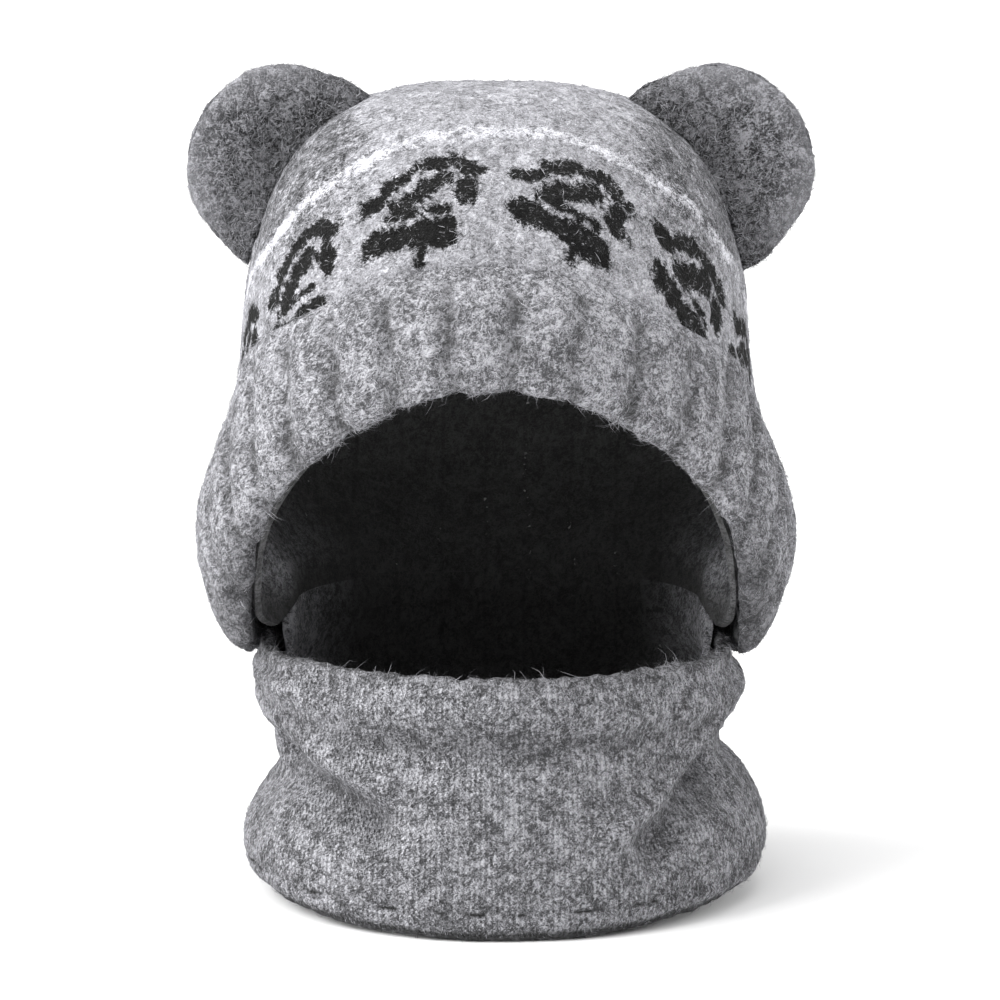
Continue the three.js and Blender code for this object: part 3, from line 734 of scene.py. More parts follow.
def neck_shades(grid, azimuth, down, inset):
    """Painted shade on the gaiter: deep on the cheeks' raised and turned-in top, valley_shade in the folds
    and in the trough below the top.
    """
    turned_in = smoothstep(inset, 2.0, 4.0) * smoothstep(np.sin(azimuth) ** 2, 0.74, 0.98)
    turned_in = turned_in * (1.0 - smoothstep(down, 0.2, 0.3))
    plain_top = neck_surface(azimuth, np.zeros(azimuth.shape), inset, 0.0)[..., 2]
    deep = 0.5 * np.maximum(smoothstep(grid[..., 2] - plain_top, -3.0, 3.5), turned_in)
    trough = np.exp(-(((down - 0.25) / 0.055) ** 2)) * smoothstep(np.cos(azimuth), 0.2, 0.7)
    valley_shade = np.clip(-folds_at(azimuth, down) / 7.0, 0.0, 1.0) + 0.7 * trough
    return deep, valley_shade


def neck_arrays():
    """The gaiter's grid with its lean at the cheeks, a ragged top edge and soft relief on the shown side."""
    down, inset, drop = neck_section()
    azimuth = np.arange(NECK_COLUMNS) / NECK_COLUMNS * 2 * np.pi
    az, dn = np.meshgrid(azimuth, down)
    ins = np.repeat(inset[:, None], NECK_COLUMNS, axis=1)
    drp = np.repeat(drop[:, None], NECK_COLUMNS, axis=1)
    ragged = (1.0 - smoothstep(dn, 0.0, 0.10)) * lattice_noise(neck_surface(az, dn, ins, drp), 4.0, 14) * 0.9
    grid = neck_surface(az, dn, ins - cheek_lean(az, dn), drp - ragged)
    deep, valley_shade = neck_shades(grid, az, dn, ins)
    shown = 1.0 - smoothstep(ins, 2.0, 4.6)
    soft = soft_relief(grid, (14.0, 0.6, 11), (5.0, 0.4, 12), (1.9, 0.2, 13))
    normal = grid_normals(grid)
    outward = np.sign(np.sum(normal * (grid - [NECK_SHIFT, 0, 0]) * [1, 1, 0], axis=-1))
    flip = 1.0 if np.median(outward[:NECK_SHOWN_ROWS]) > 0 else -1.0
    grid = grid + normal * flip * (soft * shown)[..., None]
    return grid, down, shown, deep, valley_shade


def make_neck(material):
    """The gaiter as one closed ring, with UVs that count its wales and courses."""
    grid, down, shown, deep, valley_shade = neck_arrays()
    quads = ring_faces(len(grid), NECK_COLUMNS)
    wales = np.arange(NECK_COLUMNS) / NECK_COLUMNS * NECK_WALES
    courses = np.append(down, down[0]) * NECK_HEIGHT / NECK_COURSE
    uv = grid_uv(wales, courses, NECK_WALES)
    points = grid.reshape(-1, 3)
    # deep and valley_shade say where painted shade goes.
    marks = {"deep": deep.ravel(), "valley_shade": valley_shade.ravel()}
    build_piece("neck_knit", points, quads, [], material, ["neck"], uv=uv, marks=marks)
    return grid, shown, deep


# The ears

EAR_COLUMNS = 176
EAR_ROWS = 34
EAR_STRIP = 5
EAR_DISH = 3.4
ON_HAT = 1.004


def ear_surface(side, angle, share, front):
    """Polar grid of a puffy disc: radius by angle, thickness a rounded hump, rim curled forward."""
    towards = np.array([side * np.sin(EAR_ANGLE), 0.0, np.cos(EAR_ANGLE)])
    centre = hat_towards(towards[None, :], np.zeros(1))[0] + towards * EAR_STANDOFF
    centre = centre + np.array([EAR_SHIFT, 0, 0])
    centre[1] = -EAR_FRONT
    from_axis = np.abs(np.where(angle > np.pi, 2 * np.pi - angle, angle))
    shoulder = EAR_SHOULDER * smoothstep(from_axis, np.radians(10), np.radians(65))
    flare = EAR_FLARE * smoothstep(from_axis, np.radians(75), np.radians(125))
    radius = (EAR_RADIUS + shoulder + flare) * np.sin(share * np.pi / 2)
    outline = EAR_LEAN + angle
    thick = EAR_THICKNESS / 2 * np.maximum(np.cos(share * np.pi / 2), 0.0) ** 0.8
    curl = EAR_CUP * np.sin(share * np.pi / 2) ** 2
    dish = EAR_DISH * np.exp(-((radius / 17.0) ** 2)) * (front > 0)
    return np.stack([
        centre[0] + side * radius * np.sin(outline),
        centre[1] - curl - front * thick + dish,
        centre[2] + radius * np.cos(outline),
    ], -1)


def ear_reach(side, angle, front):
    """The share at which a ray of the disc meets the hat, found by halving, or 1 on a free rim."""
    low = np.zeros(angle.shape)
    high = np.ones(angle.shape)
    free = hat_level(ear_surface(side, angle, high * 0.999, front)) > ON_HAT
    for _ in range(26):
        middle = (low + high) / 2
        inside = hat_level(ear_surface(side, angle, middle, front)) < ON_HAT
        high = np.where(inside, middle, high)
        low = np.where(inside, low, middle)
    return np.where(free, 1.0, low)


def ear_arrays(side):
    """Front and back of the disc out to the rim or the hat, with a strip on the hat between them."""
    angle = np.arange(EAR_COLUMNS) / EAR_COLUMNS * 2 * np.pi
    share = np.linspace(0, 1, EAR_ROWS + 1)[1:] ** 0.85
    sheets = []
    for front in (1.0, -1.0):
        reach = ear_reach(side, angle, front)
        turned = np.repeat(angle[None], EAR_ROWS, 0)
        sheets.append(ear_surface(side, turned, share[:, None] * reach[None], front))
    edge_front, edge_back = sheets[0][-1], sheets[1][-1]
    steps = np.linspace(0, 1, EAR_STRIP + 2)[1:-1]
    strip = np.stack([mix(edge_front, edge_back, step) for step in steps])
    level = hat_level(strip)
    sunk = level < ON_HAT
    lifted = hat_towards(unit(strip - MIDDLE), np.full(level.shape, 0.35))
    strip = np.where(sunk[..., None], lifted, strip)
    grid = np.vstack([sheets[0], strip, sheets[1][::-1]])
    front_pole = ear_surface(side, np.zeros(1), np.zeros(1), 1.0)
    back_pole = ear_surface(side, np.zeros(1), np.zeros(1), -1.0)
    return grid, front_pole, back_pole


def make_ear(side, name, replaced, material):
    """One closed padded ear, puckered a little and soft all over."""
    grid, front_pole, back_pole = ear_arrays(side)
    normal = grid_normals(grid)
    soft = soft_relief(grid, (11.0, 0.55, 21), (4.5, 0.4, 22), (1.9, 0.25, 23))
    clear = smoothstep(hat_level(grid), 1.01, 1.06)
    centre = grid.reshape(-1, 3).mean(axis=0)
    flip = np.sign(np.median(np.sum(normal * (grid - centre), axis=-1)))
    grid = grid + normal * flip * (soft * clear)[..., None]
    points = np.vstack([grid.reshape(-1, 3), front_pole, back_pole])
    quads, triangles = capped_faces(len(grid), EAR_COLUMNS)
    radius = np.linalg.norm(points - centre, axis=1)
    root = 1.0 - smoothstep(hat_level(points), 1.02, 1.24)
    # rim carries a painted highlight round the disc's edge, root painted shade where the ear sits on the hat.
    marks = {"rim": smoothstep(radius, 16.0, 36.0) * (1.0 - root), "root": root}
    piece = build_piece(name, points, quads, triangles, material, [replaced], marks=marks)
    return grid


# The linings

LINING_COLUMNS = 240
LINING_HEAD_ROWS = 40
LINING_NECK_COLUMNS = 220
FLEECE_GAP = 0.02
NECK_ROLL_RISE = 1.6
CHEEK_REACH = 8.6
LINING_MEET = SIDE_TUCK + NECK_ROLL_RISE + LINING_STEP - NECK_TOP_DROP


def meet_height(azimuth):
    """Where the hat's fleece ends above the gaiter: lower at each cheek, so that it closes the corner."""
    from_front = degrees_from_front(azimuth)
    cheek = smoothstep(from_front, 40.0, 54.0) * (1.0 - smoothstep(from_front, 78.0, 98.0))
    return LINING_MEET - CHEEK_REACH * cheek


def drawn_in(points, out):
    """Beside and behind the head, the fleece draws in to the gaiter's width as it comes down to it."""
    azimuth = np.arctan2(points[..., 0], -points[..., 1])
    low = smoothstep(WIDEST_Z - points[..., 2], 20.0, -LINING_MEET)
    back = smoothstep(-np.cos(azimuth), -0.30, 0.10)
    neck = neck_surface(azimuth, np.zeros(azimuth.shape), -out, 0.0)
    flat = mix(points[..., :2], neck[..., :2], (low * back)[..., None])
    return np.concatenate([flat, points[..., 2:]], -1)


def lining_head_surface(share, from_top, out):
    """Inside the hat, from the leaning pole to just short of the cuff's lip or the other lining."""
    seam_azimuth, seam_height, edge_azimuth, edge_height = cuff_course(share)
    azimuth = mix(seam_azimuth, edge_azimuth, LINING_LIP_SHARE)
    height = np.maximum(mix(seam_height, edge_height, LINING_LIP_SHARE), meet_height(azimuth))
    rim = unit(hat_at(azimuth, height, 0.0) - MIDDLE)
    return drawn_in(hat_towards(great_circle(rim, from_top), out), out)


def make_lining_head(material):
    """The hat's fleece as a closed wall, its front rim dark and the knit's grey behind that."""
    share = np.arange(LINING_COLUMNS) / LINING_COLUMNS
    rows = np.linspace(0, 1, LINING_HEAD_ROWS + 1)[1:]
    s, t = np.meshgrid(share, rows)
    outside = -KNIT_WALL - LINING_EASE
    inside = outside - LINING_WALL
    outer = lining_head_surface(s, t, np.full(s.shape, outside))
    inner = lining_head_surface(s, t, np.full(s.shape, inside))
    soft = soft_relief(inner, (12.0, 0.5, 41), (3.5, 0.25, 42))
    inner = inner - hat_normal(inner) * (soft + 0.1)[..., None]
    poles = [lining_head_surface(np.zeros(1), np.zeros(1), np.array([out])) for out in (outside, inside)]
    points = np.vstack([outer.reshape(-1, 3), inner[::-1].reshape(-1, 3), *poles])
    quads, triangles = capped_faces(2 * LINING_HEAD_ROWS, LINING_COLUMNS)
    rim = smoothstep(np.concatenate([t.ravel(), t[::-1].ravel(), [0, 0]]), 0.90, 0.985)
    rim = rim * mix(0.8, 1.0, smoothstep(points[:, 1], -25.0, -5.0))
    build_piece(
        "lining_head_fleece", points, quads, triangles, material, ["lining_head"],
        marks={"edge": lining_edge(points) * (1.0 - rim)}, sharp=True,
    )


def lining_edge(points):
    """1 at the low front corners, where the knit turns in at the cheeks, fading to 0 further in."""
    corner = np.stack([np.abs(points[:, 0] - NECK_SHIFT) - 84.0, (points[:, 1] + 28.0) * 0.45,
                       (points[:, 2] - WIDEST_Z + 80.0) * 0.62], -1)
    return 1.0 - smoothstep(np.linalg.norm(corner, axis=-1), 10.0, 52.0)


def lining_neck_rows():
    """Rows from the top: places down at the front and behind, rise behind, share of the meeting edge."""
    lowest = 1.0 - LINING_HEM_MARGIN / NECK_HEIGHT
    steps = np.linspace(0, 1, 7)
    downs = np.linspace(0.18, lowest, 34)
    none = np.zeros(len(downs) + 1)
    rise = mix(NECK_ROLL_RISE + LINING_STEP - FLEECE_GAP, NECK_ROLL_RISE + 0.2 * LINING_STEP, steps)
    ahead = np.concatenate([mix(0.06, 0.09, steps), [0.12], downs])
    behind = np.concatenate([np.zeros(len(steps)), [0.06], downs])
    return ahead, behind, np.concatenate([rise, none]), np.concatenate([1.0 - steps, none])


def lining_neck_sheet(inset):
    """One side of the gaiter's fleece: low in front, and raised behind to the edge of the hat's fleece."""
    azimuth = np.arange(LINING_NECK_COLUMNS) / LINING_NECK_COLUMNS * 2 * np.pi
    ahead, behind, rise, meeting = (np.meshgrid(azimuth, row)[1] for row in lining_neck_rows())
    az = np.broadcast_to(azimuth, ahead.shape)
    insets = np.full(az.shape, inset)
    raised = smoothstep(-np.cos(az), -0.22, 0.05)
    plain = neck_surface(az, ahead, insets, 0.0)
    lifted = neck_surface(az, behind, insets, -rise)
    met = drawn_in(hat_at(az, meet_height(az) - FLEECE_GAP, -insets), -insets)
    return mix(mix(plain, lifted, raised[..., None]), met, (raised * meeting)[..., None])


def make_lining_neck(material):
    """The gaiter's fleece as a closed ring: it rises over the tucked top and meets the hat's fleece."""
    outside = KNIT_WALL + LINING_EASE
    grid = np.vstack([lining_neck_sheet(outside)[::-1], lining_neck_sheet(outside + LINING_WALL)])
    quads = ring_faces(len(grid), LINING_NECK_COLUMNS)
    points = grid.reshape(-1, 3)
    build_piece(
        "lining_neck_fleece", points, quads, [], material, ["lining_neck"],
        marks={"edge": lining_edge(points)}, sharp=True,
    )


# Loose fibres

HAIR_CORNERS = 7
HAIR_FACES = np.array([
    [0, 2, 1], [0, 1, 4], [0, 4, 3], [1, 2, 5], [1, 5, 4], [2, 0, 3], [2, 3, 5],
    [3, 4, 6], [4, 5, 6], [5, 3, 6],
])
HAIR_COLOURED = 0.80


def scatter(grid, count, rng, weight=None):
    """Random places on a closed-column grid by area, with normals, two tangents and the quad's place."""
    columns = grid.shape[1]
    a = grid[:-1]
    b = grid[1:]
    c = np.roll(grid, -1, axis=1)[1:]
    d = np.roll(grid, -1, axis=1)[:-1]
    cross = np.cross(b - a, d - a)
    area = np.linalg.norm(cross, axis=-1)
    if weight is not None:
        area = area * weight[:-1]
    total = np.cumsum(area.ravel())
    pick = np.searchsorted(total, rng.uniform(0, total[-1], count))
    row, column = np.divmod(pick, columns)
    u = rng.uniform(0, 1, (count, 1))
    v = rng.uniform(0, 1, (count, 1))
    top = mix(a[row, column], d[row, column], u)
    bottom = mix(b[row, column], c[row, column], u)
    place = mix(top, bottom, v)
    normal = unit(cross[row, column])
    along = unit(d[row, column] - a[row, column])
    down = np.cross(normal, along)
    return place, normal, along, down, row, column


def fibre_arrays(place, normal, heading, length, lift, width, rng):
    """Bent three-sided hairs: a root triangle, a middle triangle and a tip, seven corners each."""
    count = len(place)
    bend = rng.uniform(-1.0, 1.0, (count, 1))
    side = np.cross(normal, heading)
    middle = place + heading * length * 0.5 + normal * lift * 0.8 + side * bend * length * 0.12
    tip = place + heading * length + normal * lift * rng.uniform(0.2, 1.6, (count, 1))
    tip = tip + side * bend * length * 0.45
    root = place - normal * 0.25
    rings = []
    for centre, size in ((root, 1.0), (middle, 0.8)):
        for k in range(3):
            turn = 2 * np.pi * k / 3 + 0.4
            rings.append(centre + (side * np.cos(turn) + normal * np.sin(turn)) * width * size)
    points = np.stack(rings + [tip], axis=1)
    triangles = (np.arange(count)[:, None, None] * HAIR_CORNERS + HAIR_FACES[None]).reshape(-1, 3)
    return points.reshape(-1, 3), triangles


def make_fibres(name, grid, count, seed, material, outside,
                size=1.0, weight=None, tone=None, flow=0.0, long=0.0):
    """Loose hairs on a grid's outside, in any direction, or a share of them, flow, along the wales.

    outside gives outward directions for places, so that the grid's own side can be told. tone holds the
    grid's values that most hairs take over. long is the share of hairs that are twice as long and stand
    off further.
    """
    rng = np.random.default_rng(seed)
    place, normal, along, down, row, column = scatter(grid, count, rng, weight)
    normal = normal * np.sign(np.median(np.sum(normal * outside(place), axis=-1)))
    angle = rng.uniform(-np.pi, np.pi, (count, 1))
    along_wales = rng.normal(np.pi / 2, 0.4, (count, 1)) + np.pi * rng.integers(0, 2, (count, 1))
    angle = np.where(rng.uniform(0, 1, (count, 1)) < flow, along_wales, angle)
    heading = unit(along * np.cos(angle) + down * np.sin(angle))
    stray = np.where(rng.uniform(0, 1, (count, 1)) < long, 2.0, 1.0)
    length = rng.uniform(1.8, 4.8, (count, 1)) * size * stray
    lift = rng.gamma(1.5, 0.30, (count, 1)) * size * stray
    width = rng.uniform(0.04, 0.11, (count, 1)) * np.sqrt(size / stray)
    points, triangles = fibre_arrays(place, normal, heading, length, lift, width, rng)
    marks = {"shade": np.repeat(rng.beta(0.9, 0.9, count), HAIR_CORNERS)}
    coloured = rng.uniform(0, 1, count) < HAIR_COLOURED
    for mark, values in (tone or {}).items():
        marks[mark] = np.repeat(values[row, column] * coloured, HAIR_CORNERS)
    build_piece(name, points, np.empty((0, 4)), triangles, material, marks=marks)


# Materials


def as_colour(value):
    """A colour as it is, or a grey as three equal parts."""
    return (value, value, value) if np.isscalar(value) else value


class Recipe:
    """A node material put together with short calls."""

    def __init__(self, name):
        self.material = bpy.data.materials.new(name)
        self.material.use_nodes = True
        self.tree = self.material.node_tree
        self.tree.nodes.clear()
        output = self.tree.nodes.new("ShaderNodeOutputMaterial")
        self.shader = self.tree.nodes.new("ShaderNodeBsdfPrincipled")
        self.tree.links.new(self.shader.outputs[0], output.inputs[0])

    def node(self, kind, **inputs):
        """A node, its named inputs linked or set."""
        node = self.tree.nodes.new(kind)
        for key, value in inputs.items():
            self.feed(node.inputs[key], value)
        return node

    def feed(self, socket, value):
        """Links an output to a socket, or sets the socket's own value."""
        if isinstance(value, bpy.types.NodeSocket):
            self.tree.links.new(value, socket)
        else:
            socket.default_value = value

    def math(self, operation, a, b=0.0, clamp=False):
        """One Math node, kept between 0 and 1 where clamp says so."""
        node = self.tree.nodes.new("ShaderNodeMath")
        node.operation = operation
        node.use_clamp = clamp
        self.feed(node.inputs[0], a)
        self.feed(node.inputs[1], b)
        return node.outputs[0]

    def over(self, value, low, gain):
        """How far a value is over a low one, times a gain, kept between 0 and 1."""
        return self.math("MULTIPLY", self.math("SUBTRACT", value, low), gain, clamp=True)

    def attribute(self, name):
        """The value of a point attribute."""
        node = self.tree.nodes.new("ShaderNodeAttribute")
        node.attribute_name = name
        return node.outputs["Fac"]

    def uv(self, name):
        """The place in one of the mesh's own UV maps."""
        node = self.tree.nodes.new("ShaderNodeUVMap")
        node.uv_map = name
        return node.outputs[0]

    def place(self, scale=(1, 1, 1), turn=(0, 0, 0)):
        """Object coordinates in metres, turned and then divided by the scale."""
        source = self.tree.nodes.new("ShaderNodeTexCoord")
        mapping = self.tree.nodes.new("ShaderNodeMapping")
        mapping.vector_type = "TEXTURE"
        mapping.inputs["Scale"].default_value = scale
        mapping.inputs["Rotation"].default_value = turn
        self.tree.links.new(source.outputs["Object"], mapping.inputs["Vector"])
        return mapping.outputs[0]

    def noise(self, vector, scale, detail=2.0, roughness=0.55, distortion=0.0):
        """The factor of a Noise texture."""
        node = self.node("ShaderNodeTexNoise", Vector=vector, Scale=scale, Detail=detail,
                         Roughness=roughness, Distortion=distortion)
        return node.outputs["Fac"]

    def ramp(self, factor, stops):
        """A colour ramp from (place, grey or colour) stops."""
        node = self.tree.nodes.new("ShaderNodeValToRGB")
        elements = node.color_ramp.elements
        while len(elements) < len(stops):
            elements.new(0.5)
        for element, (place, colour) in zip(elements, stops):
            element.position = place
            element.color = (*as_colour(colour), 1.0)
        self.feed(node.inputs[0], factor)
        return node.outputs[0]

    def blend(self, factor, a, b):
        """One colour Mix node, a at factor 0 and b at factor 1."""
        node = self.tree.nodes.new("ShaderNodeMix")
        node.data_type = "RGBA"
        for socket, value in ((node.inputs[0], factor), (node.inputs[6], a), (node.inputs[7], b)):
            if socket.type == "RGBA" and not isinstance(value, bpy.types.NodeSocket):
                value = (*as_colour(value), 1.0)
            self.feed(socket, value)
        return node.outputs[2]

    def finish(self, colour, height, distance, strength=1.0, rough=0.95, sheen=0.04):
        """The finished material: a bump of that distance in metres under its colour and sheen."""
        bump = self.tree.nodes.new("ShaderNodeBump")
        bump.inputs["Strength"].default_value = strength
        bump.inputs["Distance"].default_value = distance
        self.tree.links.new(height, bump.inputs["Height"])
        self.tree.links.new(bump.outputs[0], self.shader.inputs["Normal"])
        return self.coat(colour, rough, sheen, 0.08)

    def coat(self, colour, rough, sheen, shine):
        """Feeds the shader its colour, roughness, soft wool sheen and faint shine."""
        self.feed(self.shader.inputs["Base Color"], colour)
        self.shader.inputs["Roughness"].default_value = rough
        self.shader.inputs["Sheen Weight"].default_value = sheen
        self.shader.inputs["Sheen Roughness"].default_value = 0.6
        self.shader.inputs["Specular IOR Level"].default_value = shine
        return self.material


def cool(grey):
    """A grey with the wool's slight blue."""
    return (0.985 * grey, 0.985 * grey, 1.05 * grey)


def melange(recipe, dark, middle, light, grain=1.0):
    """Mixed dark and light wool: short crimped strokes laid across each other, blotches, a grey ramp."""
    streaks = []
    for turn in ((0.3, 0.9, 0.0), (1.3, 0.4, 0.9), (0.2, 2.3, 2.0)):
        vector = recipe.place((1.0, 1.0, 2.6), turn)
        streaks.append(recipe.noise(vector, 930.0 * grain, 1.0, 0.6, 1.6))
    both = recipe.math("MAXIMUM", streaks[0], streaks[1])
    both = recipe.math("ADD", both, recipe.math("MULTIPLY", streaks[2], 0.7))
    blotch = recipe.noise(recipe.place(), 270.0 * grain, 3.0, 0.75, 0.8)
    patch = recipe.noise(recipe.place(), 90.0, 2.0, 0.5)
    value = recipe.math("ADD", both, recipe.math("MULTIPLY", blotch, 1.1))
    value = recipe.math("ADD", value, recipe.math("MULTIPLY", patch, 0.35))
    value = recipe.math("MULTIPLY", value, 1.0 / 3.27)
    return recipe.ramp(value, [(0.44, cool(dark)), (0.50, cool(middle)), (0.56, cool(light))]), value


def crown_wool():
    """Light grey brushed melange with the pale stripe, the near-black figures and painted shade round the
    ears' roots.
    """
    recipe = Recipe("crown_wool")
    grey, value = melange(recipe, 0.150, 0.265, 0.385)
    pale = recipe.ramp(value, [(0.42, cool(0.36)), (0.58, cool(0.74))])
    black = recipe.ramp(value, [(0.46, 0.002), (0.60, 0.014)])
    ear_shade = recipe.ramp(value, [(0.44, cool(0.03)), (0.56, cool(0.24))])
    fray = recipe.math("MULTIPLY", recipe.math("SUBTRACT", value, 0.5), 4.0)
    stripe = recipe.math("ADD", recipe.attribute("stripe"), fray)
    stripe = recipe.over(stripe, 0.15, 1.25)
    figure_and_shade = recipe.math("ADD", recipe.attribute("figure_and_shade"), recipe.math("MULTIPLY", fray, -1.0))
    figure_and_shade = recipe.over(figure_and_shade, 0.22, 1.8)
    # Painted shade on the crown where the ears meet it, frayed like the wool.
    ear_shade_share = recipe.math("ADD", recipe.attribute("ear_shade"), recipe.math("MULTIPLY", fray, -0.8))
    ear_shade_share = recipe.over(ear_shade_share, 0.15, 1.2)
    colour = recipe.blend(stripe, recipe.blend(ear_shade_share, grey, ear_shade), pale)
    colour = recipe.blend(figure_and_shade, colour, black)
    return recipe.finish(colour, value, 0.0026)


def cuff_wool():
    """Melange rib knit with painted shade down in the grooves and on the turned-in lip low at the cheeks."""
    recipe = Recipe("cuff_wool")
    grey, value = melange(recipe, 0.075, 0.235, 0.48)
    # Painted shade down in the rib grooves, broken into patches.
    groove_shade_patches = recipe.over(recipe.noise(recipe.place(), 150.0, 2.0), 0.36, 4.0)
    groove = recipe.math("MULTIPLY", recipe.math("MULTIPLY", recipe.attribute("groove"), 0.75), groove_shade_patches)
    colour = recipe.blend(groove, grey, 0.035)
    # Painted shade on the turned-in lip low at the cheeks.
    colour = recipe.blend(recipe.math("MULTIPLY", recipe.attribute("turned"), 0.60), colour, cool(0.03))
    return recipe.finish(colour, value, 0.0045)


def hem_stitches_and_shade(recipe, colour, courses, wobble):
    """The gaiter's colour with broken dark stitches along the hem's seam, and painted shade along its lowest
    edge.
    """
    rows = NECK_HEIGHT / NECK_COURSE
    from_seam = recipe.math("ABSOLUTE", recipe.math("SUBTRACT", courses, HEM_SEAM * rows))
    dash = recipe.over(recipe.noise(recipe.place(), 95.0, 1.0), 0.56, 14.0)
    line = recipe.math("SUBTRACT", 1.1, recipe.math("MULTIPLY", from_seam, 1.3), clamp=True)
    colour = recipe.blend(recipe.math("MULTIPLY", line, dash), colour, 0.02)
    # Painted shade along the hem's lowest edge and its turned-under rows.
    hem = recipe.math("SUBTRACT", courses, HEM_EDGE * rows)
    hem = recipe.math("MULTIPLY", recipe.math("ADD", hem, wobble), 0.9, clamp=True)
    return recipe.blend(recipe.math("MULTIPLY", hem, 0.85), colour, 0.02)


def neck_wool():
    """Melange stockinette: rows of V stitches in relief, from UVs that count wales and courses, with painted
    shade between the wales, in the fold valleys, on the raised top at the cheeks and along the hem's lowest
    edge.
    """
    recipe = Recipe("neck_wool")
    grey, value = melange(recipe, 0.055, 0.22, 0.50)
    wobble = recipe.math("MULTIPLY", recipe.noise(recipe.place(), 260.0), 0.8)
    counts = recipe.node("ShaderNodeSeparateXYZ", Vector=recipe.uv("knit"))
    wale = recipe.math("ADD", counts.outputs[0], wobble)
    across = recipe.math("ABSOLUTE", recipe.math("SUBTRACT", recipe.math("FRACT", wale), 0.5))
    course = recipe.math("ADD", counts.outputs[1], recipe.math("MULTIPLY", across, -1.3))
    course = recipe.math("MULTIPLY", recipe.math("ADD", course, wobble), 2 * np.pi)
    stitch = recipe.math("MULTIPLY", recipe.math("SINE", course), 0.08)
    groove = recipe.math("MULTIPLY", recipe.math("MULTIPLY", across, across), -0.6)
    deep = recipe.attribute("deep")
    open_knit = recipe.math("SUBTRACT", 1.0, recipe.math("MULTIPLY", deep, 2.0), clamp=True)
    relief = recipe.math("MULTIPLY", recipe.math("ADD", stitch, groove), open_knit)
    height = recipe.math("ADD", relief, value)
    # Painted shade between the wales.
    shade = recipe.math("MULTIPLY", recipe.math("MULTIPLY", across, across), 1.6, clamp=True)
    shade = recipe.math("MULTIPLY", shade, open_knit)
    colour = recipe.blend(shade, grey, 0.05)
    colour = hem_stitches_and_shade(recipe, colour, counts.outputs[1], wobble)
    # Painted shade in the fold valleys and the trough below the top, and on the raised top at the cheeks.
    valley_shade = recipe.math("MULTIPLY", recipe.attribute("valley_shade"), 0.45)
    colour = recipe.blend(valley_shade, colour, cool(0.06))
    colour = recipe.blend(deep, colour, 0.035)
    return recipe.finish(colour, height, 0.0042)


def ear_wool():
    """Darker grey melange with a painted highlight along the rim and painted shade at the root on the hat."""
    recipe = Recipe("ear_wool")
    grey, value = melange(recipe, 0.018, 0.115, 0.38)
    # Painted highlight along the rim, then painted shade at the root.
    light = recipe.blend(recipe.math("MULTIPLY", recipe.attribute("rim"), 0.50), grey, cool(0.36))
    painted_shade = recipe.ramp(value, [(0.44, 0.008), (0.56, cool(0.12))])
    light = recipe.blend(recipe.math("MULTIPLY", recipe.attribute("root"), 0.75), light, painted_shade)
    return recipe.finish(light, value, 0.0045)


def fleece_black():
    """Black brushed fleece with faint rows of specks; grey where the knit turns in at the cheeks."""
    recipe = Recipe("fleece_black")
    grey, value = melange(recipe, 0.08, 0.26, 0.52)
    black = recipe.ramp(value, [(0.43, 0.032), (0.57, 0.075)])
    axes = recipe.node("ShaderNodeSeparateXYZ", Vector=recipe.place())
    sway = recipe.math("MULTIPLY", recipe.noise(recipe.place(), 30.0, 1.0), 0.008)
    across = recipe.math("ADD", axes.outputs[0], sway)
    row = recipe.math("COSINE", recipe.math("MULTIPLY", across, 2 * np.pi / 0.017))
    row = recipe.over(row, 0.93, 14.0)
    speck = recipe.over(recipe.noise(recipe.place(), 700.0, 0.0), 0.70, 14.0)
    here = recipe.over(recipe.noise(recipe.place(), 22.0, 0.0), 0.52, 14.0)
    specks = recipe.math("MULTIPLY", recipe.math("MULTIPLY", row, speck), here)
    black = recipe.blend(recipe.math("MULTIPLY", row, 0.25), black, 0.02)
    black = recipe.blend(specks, black, 0.35)
    colour = recipe.blend(recipe.math("MULTIPLY", recipe.attribute("edge"), 0.85), black, grey)
    return recipe.finish(colour, value, 0.0012, 0.8, rough=1.0, sheen=0.06)


def fibre_wool(name, dark, light):
    """Single hairs: each has one shade of its own, and takes the colour of what it grows on, painted shade
    included: darker round the ears' roots, black on the figures and black where painted shade lies.
    """
    recipe = Recipe(name)
    shade = recipe.attribute("shade")
    colour = recipe.ramp(shade, [(0.0, cool(dark)), (1.0, cool(light))])
    pale = recipe.ramp(shade, [(0.0, cool(0.40)), (1.0, cool(0.80))])
    painted_shade = recipe.ramp(shade, [(0.0, cool(0.03)), (1.0, cool(0.34))])
    black = recipe.ramp(shade, [(0.0, 0.003), (0.85, 0.014), (1.0, 0.12)])
    colour = recipe.blend(recipe.attribute("ear_shade"), colour, painted_shade)
    colour = recipe.blend(recipe.attribute("stripe"), colour, pale)
    colour = recipe.blend(recipe.attribute("figure_and_shade"), colour, black)
    return recipe.coat(colour, 0.9, 0.04, 0.1)


# The hood

crown_grid, crown_chart_values = make_crown(crown_wool())
cuff_grid, cuff_shown, cuff_turned_shade = make_cuff(cuff_wool())
neck_grid, neck_shown, neck_deep_shade = make_neck(neck_wool())
ear_material = ear_wool()
fleece = fleece_black()
make_lining_head(fleece)
make_lining_neck(fleece)

hair_light = fibre_wool("hair_light", 0.04, 0.56)
hair_crown = fibre_wool("hair_crown", 0.11, 0.56)
hair_dark = fibre_wool("hair_dark", 0.02, 0.44)

make_fibres(
    "crown_hairs", crown_grid, 15000, 101, hair_crown, hat_normal,
    tone=crown_chart_values,
)
# On the cuff the hairs turn black where the turned-in lip has painted shade.
make_fibres(
    "cuff_hairs", cuff_grid, 15000, 102, hair_light, hat_normal,
    weight=cuff_shown * (1.0 - 0.6 * cuff_turned_shade), tone={"figure_and_shade": 0.8 * cuff_turned_shade}, long=0.04,
)
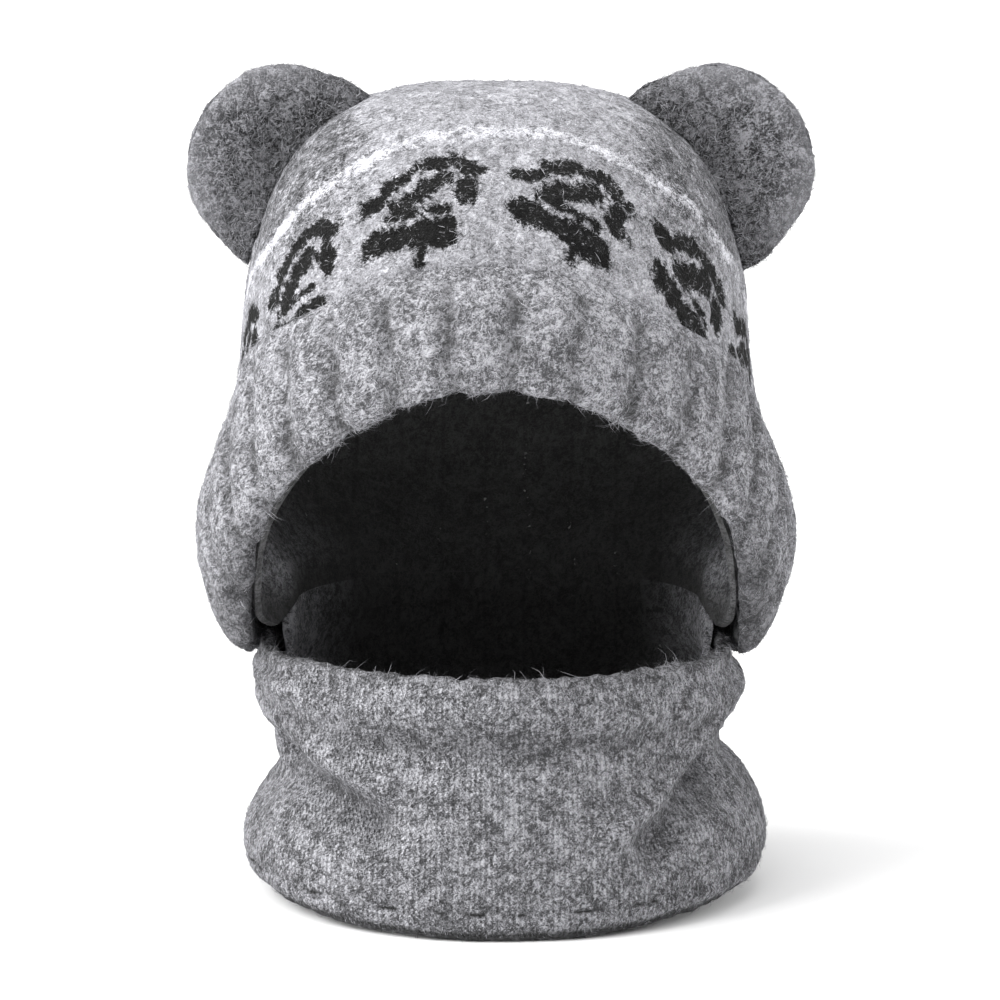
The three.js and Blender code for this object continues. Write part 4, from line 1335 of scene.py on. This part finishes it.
# The lip's hairs too turn black where the lip has painted shade.
lip_weight = np.exp(-(((np.arange(len(cuff_grid)) - CUFF_LIP_ROW) / 2.5) ** 2))
make_fibres(
    "lip_hairs", cuff_grid, 1500, 107, hair_light, hat_normal,
    weight=np.repeat(lip_weight[:, None], CUFF_COLUMNS, axis=1), tone={"figure_and_shade": 0.8 * cuff_turned_shade},
    flow=0.3, long=0.3,
)


def from_neck_axis(place):
    """Level directions away from the gaiter's middle line."""
    return unit((place - [NECK_SHIFT, 0, 0]) * [1, 1, 0])


# On the gaiter the hairs turn black where its top has painted shade.
make_fibres(
    "neck_hairs", neck_grid, 12000, 103, hair_light, from_neck_axis,
    size=0.8, weight=neck_shown * (1.0 - neck_deep_shade), tone={"figure_and_shade": 1.3 * neck_deep_shade}, flow=0.6,
)
top_weight = np.zeros(len(neck_grid))
top_weight[:2] = 1.0
top_weight[-5:] = 1.0
make_fibres(
    "neck_top_hairs", neck_grid, 900, 108, hair_light, from_neck_axis,
    weight=top_weight[:, None] * (1.0 - neck_deep_shade), flow=0.5, long=0.3,
)
for side, name in ((-1, "ear_left"), (1, "ear_right")):
    ear_grid = make_ear(side, name + "_plush", name, ear_material)
    centre = ear_grid.reshape(-1, 3).mean(axis=0)
    make_fibres(
        name + "_hairs", ear_grid, 5000, 104 + side, hair_dark,
        lambda place, centre=centre: unit(place - centre),
        weight=smoothstep(hat_level(ear_grid), 1.0, 1.03),
    )

# The studio

FLOOR_Z = -288.4
FLOOR_REACH = 30000.0
FLOOR_STEPS = 61
SKY_STRENGTH = 0.45

# name, azimuth from the front (negative on the left), elevation, strength, width in degrees
SUNS = (
    ("key", -76.0, 30.0, 5.4, 60.0),
    ("fill", 82.0, 24.0, 1.4, 60.0),
    ("top", 0.0, 80.0, 1.6, 80.0),
)


def make_floor():
    """A wide pale floor that rises gently far behind, as the square of the distance past 1.5 m."""
    step = np.linspace(-FLOOR_REACH, FLOOR_REACH, FLOOR_STEPS)
    x, y = np.meshgrid(step, step)
    z = FLOOR_Z + 0.003 * np.maximum(y / 1000.0 - 1.5, 0.0) ** 2 * 1000.0
    points = np.stack([x, y, z], -1).reshape(-1, 3) * MM
    k = (np.arange(FLOOR_STEPS - 1)[:, None] * FLOOR_STEPS + np.arange(FLOOR_STEPS - 1)[None]).ravel()
    faces = np.stack([k, k + 1, k + FLOOR_STEPS + 1, k + FLOOR_STEPS], -1)
    mesh = bpy.data.meshes.new("floor")
    mesh.from_pydata(points.tolist(), [], faces.tolist())
    recipe = Recipe("floor_paper")
    grain = recipe.noise(recipe.place(), 40.0)
    colour = recipe.ramp(grain, [(0.0, 0.87), (1.0, 0.89)])
    mesh.materials.append(recipe.finish(colour, grain, 0.0002, 0.1, sheen=0.0))
    floor = bpy.data.objects.new("floor", mesh)
    bpy.context.collection.objects.link(floor)


def add_lamp(name, kind, energy, turn, place=(0.0, 0.0, 0.0)):
    """A lamp of a kind and strength, turned and placed; returns its data."""
    data = bpy.data.lights.new(name, kind)
    data.energy = energy
    lamp = bpy.data.objects.new(name, data)
    lamp.rotation_euler = np.radians(turn)
    lamp.location = place
    bpy.context.collection.objects.link(lamp)
    return data


def make_lights():
    """An even white sky, very soft suns from the left, the right and above, and a disc over the crown."""
    world = bpy.data.worlds.new("studio")
    world.use_nodes = True
    background = world.node_tree.nodes["Background"]
    background.inputs[0].default_value = (1.0, 1.0, 1.0, 1.0)
    background.inputs[1].default_value = SKY_STRENGTH
    bpy.context.scene.world = world
    for name, azimuth, elevation, energy, spread in SUNS:
        sun = add_lamp(name, "SUN", energy, (90.0 - elevation, 0.0, azimuth))
        sun.angle = np.radians(spread)
    disc = add_lamp("softbox", "AREA", 1.5, (-13.0, -5.0, 0.0), (-0.05, -0.12, 0.5))
    disc.shape = "DISK"
    disc.size = 0.5


make_floor()
make_lights()
bpy.context.scene.view_settings.view_transform = "Standard"
